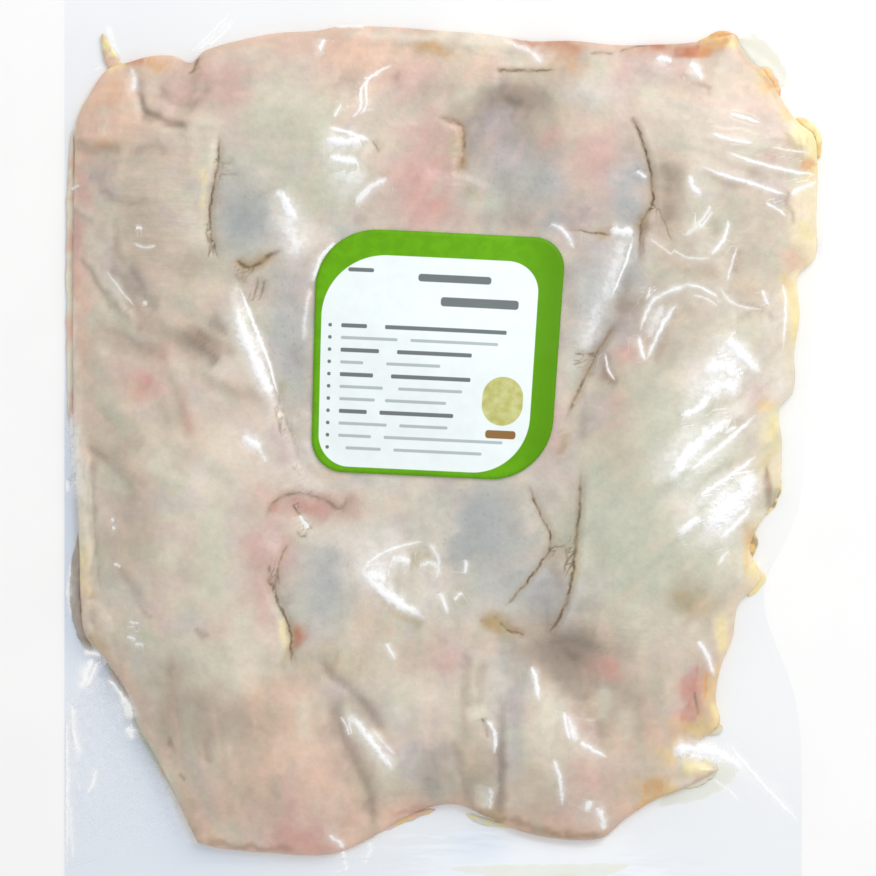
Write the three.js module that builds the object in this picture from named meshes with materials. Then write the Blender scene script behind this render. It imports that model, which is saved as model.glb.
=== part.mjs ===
import * as THREE from 'three';

// A whole boned duck, spread flat with its skin up, in a clear vacuum pouch with a square label.
// Millimetres, +Z up. The origin is in the middle of the pouch's flat underside, and +Y runs
// along the pouch to its upper end.

// Pouch
const POUCH_WIDTH = 300;
const POUCH_LENGTH = 400;
const MARGIN_THICKNESS = 1.2; // both films where they lie together
const SEAL_THICKNESS = 0.7;
const END_SEAL_WIDTH = 3.5;
const END_SEAL_INSET = 7; // bare film outside an end seal
const SIDE_SEAL_WIDTH = 2.5;
// The vacuum draws the right-hand edge in: an all-over step below a level, and a bay beside it.
const EDGE_STEP = { depth: 10, level: 18, length: 23 };
const EDGE_BAY = { depth: 15, level: -86, above: 24, below: 31 };

// Duck
const SHEET_THICKNESS = 9.1; // boned meat between its lobes, with the film
const RIM_RADIUS = 9; // how far in the rounded rim reaches
const RIM_FOOT = 3.6; // height at which the film leaves the duck
const TENT_LENGTH = 3.5; // how fast the film falls away from the duck

// Outline of the duck. Each side runs between two corners, and is given as [x, y] places.
const TOP_SIDE = [
  [-141, 109], [-137, 116], [-132, 121.5], [-125, 123.5], [-116, 126], [-107, 126], [-100, 123.5],
  [-95, 128], [-82, 132], [-67, 135], [-51, 136], [-43, 137.5], [-24, 137.5], [-2, 136],
  [17, 134.5], [33, 132], [50, 132], [65, 130.5], [80, 130.5], [98, 131.5], [107, 133.5],
  [113, 134.5],
];
const BOTTOM_SIDE = [
  [-97.5, -183], [-90, -185], [-69, -187], [-45.5, -187.5], [-31, -182], [-19, -174.5],
  [-6, -169], [4.5, -168], [16.5, -173], [29.5, -178.5], [44.5, -181.5], [61.5, -181],
  [70, -174], [81.5, -166.5], [95.5, -160.5], [107, -154.5],
];
const LEFT_SIDE = [
  [-97.5, -183], [-102.5, -173], [-108.5, -159.5], [-115.5, -146.5], [-121, -137],
  [-125, -124.5], [-133.5, -111.5], [-141.5, -102], [-143.5, -89], [-144, -68], [-145, -48],
  [-146, -28], [-146.5, -8], [-146.5, 50], [-146, 80], [-145, 100], [-141, 109],
];
const RIGHT_SIDE = [
  [107, -154.5], [100, -151], [97, -146.5], [101.5, -141.5], [107.5, -136.5], [106, -126.5],
  [108, -114], [112.5, -103], [115, -89], [120.5, -83.5], [124, -78], [119.5, -68.5],
  [122, -60], [126.5, -53], [131, -44.5], [132, -25], [131, -12.5], [136.5, -6],
  [137, 10.5], [139, 23.5], [138.5, 40], [145, 46.5], [145.5, 63], [146, 82.5], [144.5, 95],
  [138.5, 100], [132.5, 108], [126, 119], [119, 125], [115.5, 130.5], [113, 134.5],
];

// Lobes of meat: middle x and y, half sizes along x and y, and height over the sheet.
const LOBES = [
  [-119, 61, 28, 45, 7.5], // left flap, upper
  [-100, -71, 34, 55, 9], // left flap, lower
  [-74, -150, 32, 32, 6], // lower left
  [-57, 98, 36, 30, 6.5], // upper left of the middle
  [-6, 10, 56, 52, 9], // under the label
  [-8, 74, 20, 18, 3], // above the label
  [52, 82, 26, 28, 4.5], // right of the middle
  [104, 94, 32, 30, 7], // upper right
  [103, 30, 30, 38, 8], // right, middle
  [86, -48, 34, 42, 11], // right flap
  [-14, -103, 34, 34, 6], // below the label
  [-6, -152, 20, 18, 4], // lower middle
  [45, -150, 24, 30, 8], // lower right
  [88, -126, 20, 22, 5], // right foot
];

// Creases and overlaps. Each is a valley, with a half width and a depth, through places in turn.
// Its lift raises the skin on the left of the way it runs, or on the right where it is negative.
const crease = (width, depth, lift, ...through) => ({ width, depth, lift, through });
const CREASES = [
  // left flap, upper crease
  crease(2.4, 3.4, -1.4, [-88.5, 99.5], [-88.5, 85.5], [-92, 63], [-90.5, 53.5], [-80, 40]),
  // left flap, edge over the middle
  crease(2.4, 2.6, -2.4, [-80.5, 38], [-76.5, 22], [-65, -10], [-52.5, -43]),
  // left flap, its folded tip
  crease(2.4, 2.2, 1.2, [-72, -57], [-69, -50.5], [-60, -46], [-39, -47]),
  // left flap, lower crease
  crease(2.6, 3.6, -2, [-70.5, -76.5], [-63.5, -92], [-60, -106], [-60.5, -114]),
  // valley below the tip
  crease(4.5, 2.6, 0, [-53, -109], [-43.5, -121.5], [-31.5, -131], [-21, -145]),
  // valley right of the lower left lobe
  crease(4.5, 4, -1, [-47.5, -124.5], [-41.5, -140], [-35, -155.5], [-27.5, -180]),
  // pink lobe above the label
  crease(2.2, 2.2, -1, [-2, 100.5], [6.5, 96.5], [4.5, 79.5]),
  // rolled upper rim
  crease(2.4, 2.4, 1, [10, 119], [31, 120], [45, 121]),
  // upper right crease
  crease(2.4, 3, 1.2, [72, 100], [79.5, 82.5], [81, 68], [77, 59.5]),
  // right flap, upper edge
  crease(3, 3.4, 1.6, [76.5, 34.5], [69, 23], [61.5, 13.5], [49.5, -10.5], [44.5, -23]),
  // crease under the label
  crease(2.2, 2.4, 0, [32, -38.5], [36.5, -55], [41, -66], [31, -80], [22.5, -89.5]),
  // right flap, edge over the middle
  crease(2.6, 4, 2.4, [52.5, -36.5], [51.5, -60], [48, -84], [38.5, -103]),
  // right flap, foot
  crease(5, 2, 1.8, [38.5, -103], [52.5, -104], [77.5, -112.5]),
  // valley left of the lower right lobe
  crease(3, 3.4, 0.8, [20, -122.5], [21, -142], [17, -172]),
  // fold in the upper left corner
  crease(3, 2.4, -0.8, [-120.5, 116], [-115.5, 101], [-101, 97]),
  // left shoulder
  crease(3, 2, 0.8, [-141, 93], [-135, 89.5], [-125, 87]),
  // rolled left rim
  crease(3, 2.4, -0.8, [-140, -24], [-136.5, -45], [-136.5, -84], [-128, -104]),
  // fold across the right lobe
  crease(3, 2, 0.6, [94.5, 35.5], [107, 32], [130, 17.5]),
];
const LIFT_REACH = 22; // how far a lift carries back from its crease
const CREASE_END = 0.14; // share of a crease over which each end runs out

// Label
const LABEL_SIZE = 95;
const LABEL_MIDDLE = [-4, 8.5];
const LABEL_TURN = THREE.MathUtils.degToRad(-2.7);
const LABEL_TAPER = 0.024; // its lower edge bends away from view and looks shorter
const LABEL_THICKNESS = 0.5;
const LABEL_CLEARANCE = 0.4;
const LABEL_RADII = { upperLeft: 24, upperRight: 12, lowerRight: 24, lowerLeft: 12.5 };
const LABEL_REACH = 9; // creases run out this far from the label, which presses the film flat

// Mesh
const DUCK_COLUMNS = 56;
const DUCK_ROWS = 60;
const SNAP_SHARE = 0.4; // a point this near to a crease, in cells, moves onto it
const UPPER_MARGIN = [0.07, 0.18, 0.36, 0.6, 0.8, 1]; // steps from the duck to a seal
const LOWER_MARGIN = [0.3, 1];
const SIDE_MARGIN = [0.12, 0.4, 1];
const UNDERSIDE_HALF = [80, 120]; // the large flat field in the middle of the underside
const LABEL_CELLS = 22;
const BAND_SLACK = 0.1; // rows this near to a seal's band count as in it
const ON_OUTLINE = 1e-6; // places this near to the outline count as on it

// Finish, as colour, roughness and opacity
const BAG_FINISH = [0xd2c0ae, 0.25, 0.95];
const LABEL_FINISH = [0xeefcfb, 0.4, 1];

const smooth = (t) => THREE.MathUtils.smoothstep(t, 0, 1);

// The value at t of a smooth line through [t, value] places, in rising order of t.
function lineThrough(places, t) {
  const last = places.length - 2;
  let k = 0;
  while (k < last && t > places[k + 1][0]) k++;
  const slope = (a, b) => (places[b][1] - places[a][1]) / (places[b][0] - places[a][0]);
  const [t0, v0] = places[k];
  const [t1, v1] = places[k + 1];
  const span = t1 - t0;
  const inSlope = k > 0 ? slope(k - 1, k + 1) : slope(k, k + 1);
  const outSlope = k < last ? slope(k, k + 2) : slope(k, k + 1);
  const s = THREE.MathUtils.clamp((t - t0) / span, 0, 1);
  const rise = v0 * (1 + 2 * s) * (1 - s) ** 2 + v1 * (3 - 2 * s) * s ** 2;
  return rise + span * (inSlope * s * (1 - s) ** 2 - outSlope * (1 - s) * s ** 2);
}

const flipped = (places) => places.map(([x, y]) => [y, x]);
const LEFT_BY_Y = flipped(LEFT_SIDE);
const RIGHT_BY_Y = flipped(RIGHT_SIDE);

// A place on each side of the outline, at share s of the way between the side's corners.
function onTopOrBottom(side, s) {
  const x = THREE.MathUtils.lerp(side[0][0], side[side.length - 1][0], s);
  return new THREE.Vector2(x, lineThrough(side, x));
}

function onLeftOrRight(side, s) {
  const y = THREE.MathUtils.lerp(side[0][0], side[side.length - 1][0], s);
  return new THREE.Vector2(lineThrough(side, y), y);
}

// The duck's plan as a patch between its four sides: u runs to the right and v upwards.
function duckPlace(u, v) {
  const bottom = onTopOrBottom(BOTTOM_SIDE, u);
  const top = onTopOrBottom(TOP_SIDE, u);
  const left = onLeftOrRight(LEFT_BY_Y, v);
  const right = onLeftOrRight(RIGHT_BY_Y, v);
  const corner = (side, k) => new THREE.Vector2(...side[k === 0 ? 0 : side.length - 1]);
  const lower = corner(BOTTOM_SIDE, 0).lerp(corner(BOTTOM_SIDE, 1), u);
  const upper = corner(TOP_SIDE, 0).lerp(corner(TOP_SIDE, 1), u);
  const along = bottom.lerp(top, v);
  const across = left.lerp(right, u);
  return along.add(across).sub(lower.lerp(upper, v));
}

const OUTLINE_STEPS = 90;
const outline = duckOutline();

function duckOutline() {
  const shares = Array.from({ length: OUTLINE_STEPS }, (_, k) => k / OUTLINE_STEPS);
  return [
    ...shares.map((s) => duckPlace(s, 0)),
    ...shares.map((s) => duckPlace(1, s)),
    ...shares.map((s) => duckPlace(1 - s, 1)),
    ...shares.map((s) => duckPlace(0, 1 - s)),
  ];
}

// The nearest place on a run of points: its distance, the side (+1 left), and its share of the run.
function nearestOn(points, x, y) {
  const best = { distance: Infinity, side: 1, share: 0, x, y };
  for (let k = 0; k + 1 < points.length; k++) {
    const a = points[k];
    const dx = points[k + 1].x - a.x;
    const dy = points[k + 1].y - a.y;
    const along = ((x - a.x) * dx + (y - a.y) * dy) / (dx * dx + dy * dy);
    const t = THREE.MathUtils.clamp(along, 0, 1);
    const px = a.x + t * dx;
    const py = a.y + t * dy;
    const distance = Math.hypot(x - px, y - py);
    if (distance < best.distance) {
      const side = dx * (y - a.y) - dy * (x - a.x) >= 0 ? 1 : -1;
      Object.assign(best, { distance, side, share: (k + t) / (points.length - 1), x: px, y: py });
    }
  }
  return best;
}

// Whether a place is inside the duck's outline, by counting the crossings of a ray.
function insideDuck(x, y) {
  let inside = false;
  for (let k = 0, j = outline.length - 1; k < outline.length; j = k++) {
    const a = outline[k];
    const b = outline[j];
    if (a.y > y !== b.y > y && x < ((b.x - a.x) * (y - a.y)) / (b.y - a.y) + a.x) inside = !inside;
  }
  return inside;
}

const CREASE_STEPS = 24;
const creaseRuns = CREASES.map(({ through }) =>
  new THREE.SplineCurve(through.map(([x, y]) => new THREE.Vector2(x, y))).getPoints(CREASE_STEPS));

// Plan of the label: its own axes at a place, from the middle of the label.
function onLabel(x, y) {
  const dx = x - LABEL_MIDDLE[0];
  const dy = y - LABEL_MIDDLE[1];
  const v = -dx * Math.sin(LABEL_TURN) + dy * Math.cos(LABEL_TURN);
  const u = dx * Math.cos(LABEL_TURN) + dy * Math.sin(LABEL_TURN);
  return [u / (1 + (LABEL_TAPER * v) / (LABEL_SIZE / 2)), v];
}

// How far creases may show: none under the label, all of them a little way off.
function creaseShare(x, y) {
  const [u, v] = onLabel(x, y);
  return smooth((Math.max(Math.abs(u), Math.abs(v)) - LABEL_SIZE / 2) / LABEL_REACH);
}

// Depth and lift of all creases at a place.
function creaseHeight(x, y) {
  let height = 0;
  CREASES.forEach(({ width, depth, lift }, k) => {
    const near = nearestOn(creaseRuns[k], x, y);
    if (near.distance > 2 * LIFT_REACH) return;
    const end = smooth(near.share / CREASE_END) * smooth((1 - near.share) / CREASE_END);
    const valley = depth * Math.exp(-((near.distance / width) ** 2));
    const step = Math.tanh(near.distance / width) * Math.exp(-((near.distance / LIFT_REACH) ** 2));
    height += end * (lift * near.side * step - valley);
  });
  return height * creaseShare(x, y);
}

function lobeHeight(x, y) {
  return LOBES.reduce((sum, [mx, my, rx, ry, rise]) =>
    sum + rise * Math.exp(-(((x - mx) / rx) ** 2) - ((y - my) / ry) ** 2), 0);
}

// Height of the film over the floor: a rounded rim round the lobes, and a tent of film outside.
function packHeight(x, y) {
  const { distance } = nearestOn([...outline, outline[0]], x, y);
  if (!insideDuck(x, y) && distance > ON_OUTLINE) {
    return MARGIN_THICKNESS + (RIM_FOOT - MARGIN_THICKNESS) * Math.exp(-distance / TENT_LENGTH);
  }
  const in1 = 1 - Math.min(distance / RIM_RADIUS, 1);
  const rim = Math.sqrt(1 - in1 * in1);
  return RIM_FOOT + (SHEET_THICKNESS - RIM_FOOT + lobeHeight(x, y) + creaseHeight(x, y)) * rim;
}

// The pouch's right-hand edge at a level, drawn in by the vacuum.
function rightEdge(y) {
  const step = EDGE_STEP.depth / (1 + Math.exp((y - EDGE_STEP.level) / EDGE_STEP.length));
  const reach = y > EDGE_BAY.level ? EDGE_BAY.above : EDGE_BAY.below;
  const bay = EDGE_BAY.depth * Math.exp(-(((y - EDGE_BAY.level) / reach) ** 2));
  return POUCH_WIDTH / 2 - step - bay;
}

// Level of the plan's rows beyond the duck, towards an end of the pouch (+1 upper, -1 lower).
function endLevels(from, end, shares) {
  const sealOuter = end * (POUCH_LENGTH / 2 - END_SEAL_INSET);
  const sealInner = sealOuter - end * END_SEAL_WIDTH;
  const margin = shares.map((s) => THREE.MathUtils.lerp(from, sealInner, s));
  return [...margin, sealOuter, end * (POUCH_LENGTH / 2)];
}

function sideLevels(from, edge) {
  const sealInner = edge - Math.sign(edge) * SIDE_SEAL_WIDTH;
  return [...SIDE_MARGIN.map((s) => THREE.MathUtils.lerp(from, sealInner, s)), edge];
}

// Plan of the pouch as rows of places: the duck's patch, with margins and seals all round it.
function pouchPlan() {
  const below = endLevels(0, -1, LOWER_MARGIN).length;
  const above = endLevels(0, 1, UPPER_MARGIN).length;
  const beside = SIDE_MARGIN.length + 1;
  const plan = [];
  for (let j = -below; j <= DUCK_ROWS + above; j++) {
    const v = THREE.MathUtils.clamp(j, 0, DUCK_ROWS) / DUCK_ROWS;
    const row = [];
    for (let i = -beside; i <= DUCK_COLUMNS + beside; i++) {
      const u = THREE.MathUtils.clamp(i, 0, DUCK_COLUMNS) / DUCK_COLUMNS;
      const place = duckPlace(u, v);
      if (j < 0) place.y = endLevels(place.y, -1, LOWER_MARGIN)[-j - 1];
      if (j > DUCK_ROWS) place.y = endLevels(place.y, 1, UPPER_MARGIN)[j - DUCK_ROWS - 1];
      if (i < 0) place.x = sideLevels(place.x, -POUCH_WIDTH / 2)[-i - 1];
      if (i > DUCK_COLUMNS) place.x = sideLevels(place.x, rightEdge(place.y))[i - DUCK_COLUMNS - 1];
      const seam = i === -beside || i === DUCK_COLUMNS + beside;
      const inward = Math.min(i, DUCK_COLUMNS - i, j, DUCK_ROWS - j);
      row.push({ place, inDuck: inward > 0, onOutline: inward === 0, seam });
    }
    plan.push(row);
  }
  return plan;
}

// Points of the duck's patch that lie close to a crease move onto it, so that it shows as a line.
function snapToCreases(plan) {
  const cell = (POUCH_WIDTH - 2 * SIDE_SEAL_WIDTH) / DUCK_COLUMNS;
  for (const { place, inDuck } of plan.flat()) {
    if (!inDuck || creaseShare(place.x, place.y) < 1) continue;
    const near = creaseRuns
      .map((run) => nearestOn(run, place.x, place.y))
      .reduce((a, b) => (a.distance < b.distance ? a : b));
    if (near.distance < SNAP_SHARE * cell) place.set(near.x, near.y);
  }
}

// Height of a plan's place. A heat seal is thinner than the loose margin beside it.
function sealedHeight({ place, onOutline, seam }) {
  if (onOutline) return RIM_FOOT;
  const fromEnd = POUCH_LENGTH / 2 - Math.abs(place.y);
  const fromBand = Math.abs(fromEnd - END_SEAL_INSET - END_SEAL_WIDTH / 2) - END_SEAL_WIDTH / 2;
  return fromBand < BAND_SLACK || seam ? SEAL_THICKNESS : packHeight(place.x, place.y);
}

// Two triangles for a cell of a grid, along the diagonal that keeps closer to the surface.
function cellFaces(points, [a, b, c, d], heightAt) {
  const middle = (p, q) => points[p].clone().add(points[q]).multiplyScalar(0.5);
  const ac = middle(a, c);
  const bd = middle(b, d);
  const acError = Math.abs(ac.z - heightAt(ac.x, ac.y));
  const bdError = Math.abs(bd.z - heightAt(bd.x, bd.y));
  return acError <= bdError ? [a, b, c, a, c, d] : [a, b, d, b, c, d];
}

function meshOf(name, points, faces, [colour, roughness, opacity]) {
  const geometry = new THREE.BufferGeometry().setFromPoints(points);
  geometry.setIndex(faces);
  geometry.computeVertexNormals();
  const material = new THREE.MeshStandardMaterial({
    color: colour, roughness, metalness: 0, opacity, transparent: opacity < 1,
  });
  const mesh = new THREE.Mesh(geometry, material);
  mesh.name = name;
  return mesh;
}

// Indices round the border of a grid, counterclockwise from its first point.
function borderOf(rows, columns) {
  const at = (i, j) => j * columns + i;
  const border = [];
  for (let i = 0; i < columns - 1; i++) border.push(at(i, 0));
  for (let j = 0; j < rows - 1; j++) border.push(at(columns - 1, j));
  for (let i = columns - 1; i > 0; i--) border.push(at(i, rows - 1));
  for (let j = rows - 1; j > 0; j--) border.push(at(0, j));
  return border;
}

// The pouch with the duck in it: its relief on top, a wall at the edge, and a flat underside.
function sealedBag() {
  const plan = pouchPlan();
  snapToCreases(plan);
  const rows = plan.length;
  const columns = plan[0].length;
  const points = plan.flat().map((cell) =>
    new THREE.Vector3(cell.place.x, cell.place.y, sealedHeight(cell)));
  const faces = [];
  for (let j = 0; j + 1 < rows; j++) {
    for (let i = 0; i + 1 < columns; i++) {
      const a = j * columns + i;
      faces.push(...cellFaces(points, [a, a + 1, a + columns + 1, a + columns], packHeight));
    }
  }
  const rim = borderOf(rows, columns);
  const foot = points.length;
  rim.forEach((k) => points.push(new THREE.Vector3(points[k].x, points[k].y, 0)));
  rim.forEach((upper, k) => {
    const next = (k + 1) % rim.length;
    faces.push(upper, foot + k, rim[next], rim[next], foot + k, foot + next);
  });
  faces.push(...undersideFaces(points, foot, rim.length));
  return meshOf('sealed_bag', points, faces, BAG_FINISH);
}

// The flat underside: a large field of two triangles, and a fan of narrow ones out to the edge.
function undersideFaces(points, foot, count) {
  const [hx, hy] = UNDERSIDE_HALF;
  const field = points.length;
  [[-hx, -hy], [hx, -hy], [hx, hy], [-hx, hy]].forEach(([x, y]) => points.push(new THREE.Vector3(x, y, 0)));
  const loop = Array.from({ length: count }, (_, k) => foot + k);
  const flat = (k) => new THREE.Vector2(points[k].x, points[k].y);
  const corners = [field, field + 3, field + 2, field + 1];
  const around = [...loop, ...corners];
  const ring = THREE.ShapeUtils.triangulateShape(loop.map(flat), [corners.map(flat)]);
  const faces = [field, field + 2, field + 1, field, field + 3, field + 2];
  ring.forEach(([a, b, c]) => faces.push(around[a], around[c], around[b]));
  return faces;
}

// A place on the label from its own axes, both from -1 to 1, with its corners rounded.
function labelPlace(s, t) {
  const half = LABEL_SIZE / 2;
  const { upperLeft, upperRight, lowerRight, lowerLeft } = LABEL_RADII;
  const radius = t > 0 ? (s > 0 ? upperRight : upperLeft) : s > 0 ? lowerRight : lowerLeft;
  let u = s * half;
  let v = t * half;
  const inner = half - radius;
  const cu = Math.abs(u) - inner;
  const cv = Math.abs(v) - inner;
  if (cu > 0 && cv > 0) {
    // A square corner is drawn in to a quarter circle: rings of the square become rings of it.
    const shrink = Math.max(cu, cv) / Math.hypot(cu, cv);
    u = Math.sign(u) * (inner + cu * shrink);
    v = Math.sign(v) * (inner + cv * shrink);
  }
  u *= 1 + (LABEL_TAPER * v) / half;
  const x = LABEL_MIDDLE[0] + u * Math.cos(LABEL_TURN) - v * Math.sin(LABEL_TURN);
  const y = LABEL_MIDDLE[1] + u * Math.sin(LABEL_TURN) + v * Math.cos(LABEL_TURN);
  return new THREE.Vector2(x, y);
}

// The label: a thin sheet that follows the film under it.
function label() {
  const side = LABEL_CELLS + 1;
  const lower = [];
  for (let j = 0; j < side; j++) {
    for (let i = 0; i < side; i++) {
      const place = labelPlace((2 * i) / LABEL_CELLS - 1, (2 * j) / LABEL_CELLS - 1);
      lower.push(new THREE.Vector3(place.x, place.y, packHeight(place.x, place.y) + LABEL_CLEARANCE));
    }
  }
  const upper = lower.map((p) => new THREE.Vector3(p.x, p.y, p.z + LABEL_THICKNESS));
  const count = lower.length;
  const faces = [];
  for (let j = 0; j < LABEL_CELLS; j++) {
    for (let i = 0; i < LABEL_CELLS; i++) {
      const a = j * side + i;
      const cell = cellFaces(lower, [a, a + 1, a + side + 1, a + side], packHeight);
      for (let k = 0; k < cell.length; k += 3) {
        const [p, q, r] = cell.slice(k, k + 3);
        faces.push(p, r, q, count + p, count + q, count + r);
      }
    }
  }
  const rim = borderOf(side, side);
  rim.forEach((p, k) => {
    const q = rim[(k + 1) % rim.length];
    faces.push(p, q, count + q, p, count + q, count + p);
  });
  return meshOf('label', [...lower, ...upper], faces, LABEL_FINISH);
}

const pack = new THREE.Group();
pack.add(sealedBag(), label());
export default pack;
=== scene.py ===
import math

import bpy
import numpy as np
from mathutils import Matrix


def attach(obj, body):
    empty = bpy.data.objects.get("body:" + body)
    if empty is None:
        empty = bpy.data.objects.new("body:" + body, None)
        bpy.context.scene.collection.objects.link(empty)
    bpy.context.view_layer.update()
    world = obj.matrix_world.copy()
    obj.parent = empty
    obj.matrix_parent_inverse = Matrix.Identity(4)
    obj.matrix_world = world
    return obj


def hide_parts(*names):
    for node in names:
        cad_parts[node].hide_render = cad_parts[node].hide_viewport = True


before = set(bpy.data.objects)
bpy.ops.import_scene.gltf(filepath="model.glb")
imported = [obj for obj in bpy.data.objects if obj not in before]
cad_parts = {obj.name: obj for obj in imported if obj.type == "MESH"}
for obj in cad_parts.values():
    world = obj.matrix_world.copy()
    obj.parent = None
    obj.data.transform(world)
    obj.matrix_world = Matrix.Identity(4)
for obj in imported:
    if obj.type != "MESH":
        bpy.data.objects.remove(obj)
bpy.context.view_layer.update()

bl_info = {
    "name": "Vacuum-packed duck",
    "version": (1, 0, 0),
    "blender": (4, 5, 0),
    "location": "View3D > Sidebar > Duck",
    "description": "A boned duck, spread flat in a clear vacuum pouch with a square label",
    "category": "Add Mesh",
}

# Places and sizes below are in millimetres. X runs to the right and Y up the pouch, from the
# middle of its underside.
MM = 0.001

# Pouch
POUCH_HALF = (150, 200)
MARGIN_THICKNESS = 1.2
SEAL_THICKNESS = 0.7
END_SEAL_WIDTH = 3.5
END_SEAL_INSET = 7
SIDE_SEAL_WIDTH = 2.5
EDGE_STEP = {"depth": 10, "level": 18, "length": 23}
EDGE_BAY = {"depth": 15, "level": -86, "above": 24, "below": 31}

# Duck
SHEET_THICKNESS = 9.1
RIM_RADIUS = 3.5
RIM_STEP = 0.24
RISE_REACH = 13
RIM_FOOT = 2.6
TENT_LENGTH = 3.5

# Outline of the duck, as four sides between its corners.
TOP_SIDE = [
    (-141, 109), (-137, 116), (-132, 121.5), (-125, 123.5), (-116, 126), (-107, 126), (-100, 123.5),
    (-95, 128), (-82, 132), (-67, 135), (-51, 136), (-43, 137.5), (-24, 137.5), (-2, 136),
    (17, 134.5), (33, 132), (50, 132), (65, 130.5), (80, 130.5), (98, 131.5), (107, 133.5),
    (113, 134.5),
]
BOTTOM_SIDE = [
    (-97.5, -183), (-90, -185), (-69, -187), (-45.5, -187.5), (-31, -182), (-19, -174.5),
    (-6, -169), (4.5, -168), (16.5, -173), (29.5, -178.5), (44.5, -181.5), (61.5, -181),
    (70, -174), (81.5, -166.5), (95.5, -160.5), (107, -154.5),
]
LEFT_SIDE = [
    (-97.5, -183), (-102.5, -173), (-108.5, -159.5), (-115.5, -146.5), (-121, -137),
    (-125, -124.5), (-133.5, -111.5), (-141.5, -102), (-143.5, -89), (-144, -68), (-145, -48),
    (-146, -28), (-146.5, -8), (-146.5, 50), (-146, 80), (-145, 100), (-141, 109),
]
RIGHT_SIDE = [
    (107, -154.5), (100, -151), (97, -146.5), (101.5, -141.5), (107.5, -136.5), (106, -126.5),
    (108, -114), (112.5, -103), (115, -89), (120.5, -83.5), (124, -78), (119.5, -68.5),
    (122, -60), (126.5, -53), (131, -44.5), (132, -25), (131, -12.5), (136.5, -6),
    (137, 10.5), (139, 23.5), (138.5, 40), (145, 46.5), (145.5, 63), (146, 82.5), (144.5, 95),
    (138.5, 100), (132.5, 108), (126, 119), (119, 125), (115.5, 130.5), (113, 134.5),
]

# Lobes of meat: middle x and y, half sizes along x and y, and height over the sheet.
LOBES = [
    (-119, 61, 28, 45, 7.5),
    (-100, -71, 34, 55, 9),
    (-74, -150, 32, 32, 6),
    (-57, 98, 36, 30, 6.5),
    (-6, 10, 56, 52, 9),
    (-8, 74, 20, 18, 3),
    (52, 82, 26, 28, 4.5),
    (104, 94, 32, 30, 7),
    (103, 30, 30, 38, 8),
    (86, -48, 34, 42, 11),
    (-14, -103, 34, 34, 6),
    (-6, -152, 20, 18, 4),
    (45, -150, 24, 30, 8),
    (88, -126, 20, 22, 5),
]

# Folds: half width, depth, lift of the skin on the left of the run, darkness and half width of the
# line of painted shade in the fold, places.
FOLDS = [
    (2.4, 3, -1.4, 0.9, 0.45, (-88.5, 96), (-88.8, 83), (-91, 72), (-92, 62), (-91.5, 54), (-88.5, 45)),
    (2.4, 2.4, -2.2, 0.25, 0.8, (-80.5, 38), (-76.5, 22), (-65, -10), (-52.5, -43)),
    (2.4, 2, 1.2, 0.45, 0.7, (-70, -56), (-68, -50), (-60, -45.5), (-48, -48), (-41, -52), (-38, -46)),
    (2.6, 3.4, -2, 0.9, 0.55, (-70, -77), (-66.5, -86), (-61.8, -96), (-60.4, -104), (-60.6, -114)),
    (4.5, 2.6, -0.6, 0, 2.2, (-50, -108), (-45, -117), (-38, -122), (-31, -130), (-21, -145)),
    (4.5, 3.6, -1, 0, 2.4, (-46, -127), (-42, -138), (-37, -150), (-31, -163), (-28, -180)),
    (2.2, 2.2, -1, 0.75, 0.7, (-3.5, 100.6), (3, 99.6), (6.8, 96), (6.6, 85), (4, 78)),
    (2, 1.2, 0.6, 0.7, 0.5, (19, 120), (30, 119.8), (43, 120)),
    (2.4, 2.6, 1.2, 0.95, 0.55, (72, 101), (75, 95), (79, 83), (80, 76), (80.4, 67), (76, 59), (75.5, 44)),
    (3, 3.2, 1.6, 0.9, 0.6, (66, 20), (62, 14), (59, 10), (56, 3), (51, -7), (45, -20)),
    (2.2, 2.2, 0, 0.95, 0.45, (31.5, -36), (32, -42), (36, -52), (41, -65.5), (31, -81), (21, -92)),
    (2.6, 3.4, 2.2, 0.9, 0.55, (52.5, -36), (52, -50), (50.5, -66), (49, -80), (45, -93), (38, -104)),
    (5, 2, 1.8, 0, 3, (38.5, -103), (52.5, -104), (77.5, -112.5)),
    (3, 3, 0.8, 0, 1.5, (21, -125), (21.5, -142), (21, -174)),
    (3, 3, -0.8, 0, 1.8, (-121, 120), (-119.5, 108), (-117.5, 103), (-110, 99.5), (-100, 97)),
    (3, 2.4, 0.8, 0, 1.8, (-144, 92.5), (-138, 90.5), (-127, 89)),
    (3, 2, -0.8, 0, 1.4, (-139.5, -26), (-138.5, -48), (-137, -70), (-135, -88)),
    (3, 2, 0.6, 0, 1.6, (88, 25), (84, 15), (81, 4)),
]
LIFT_REACH = 22
FOLD_END = 0.14
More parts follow.
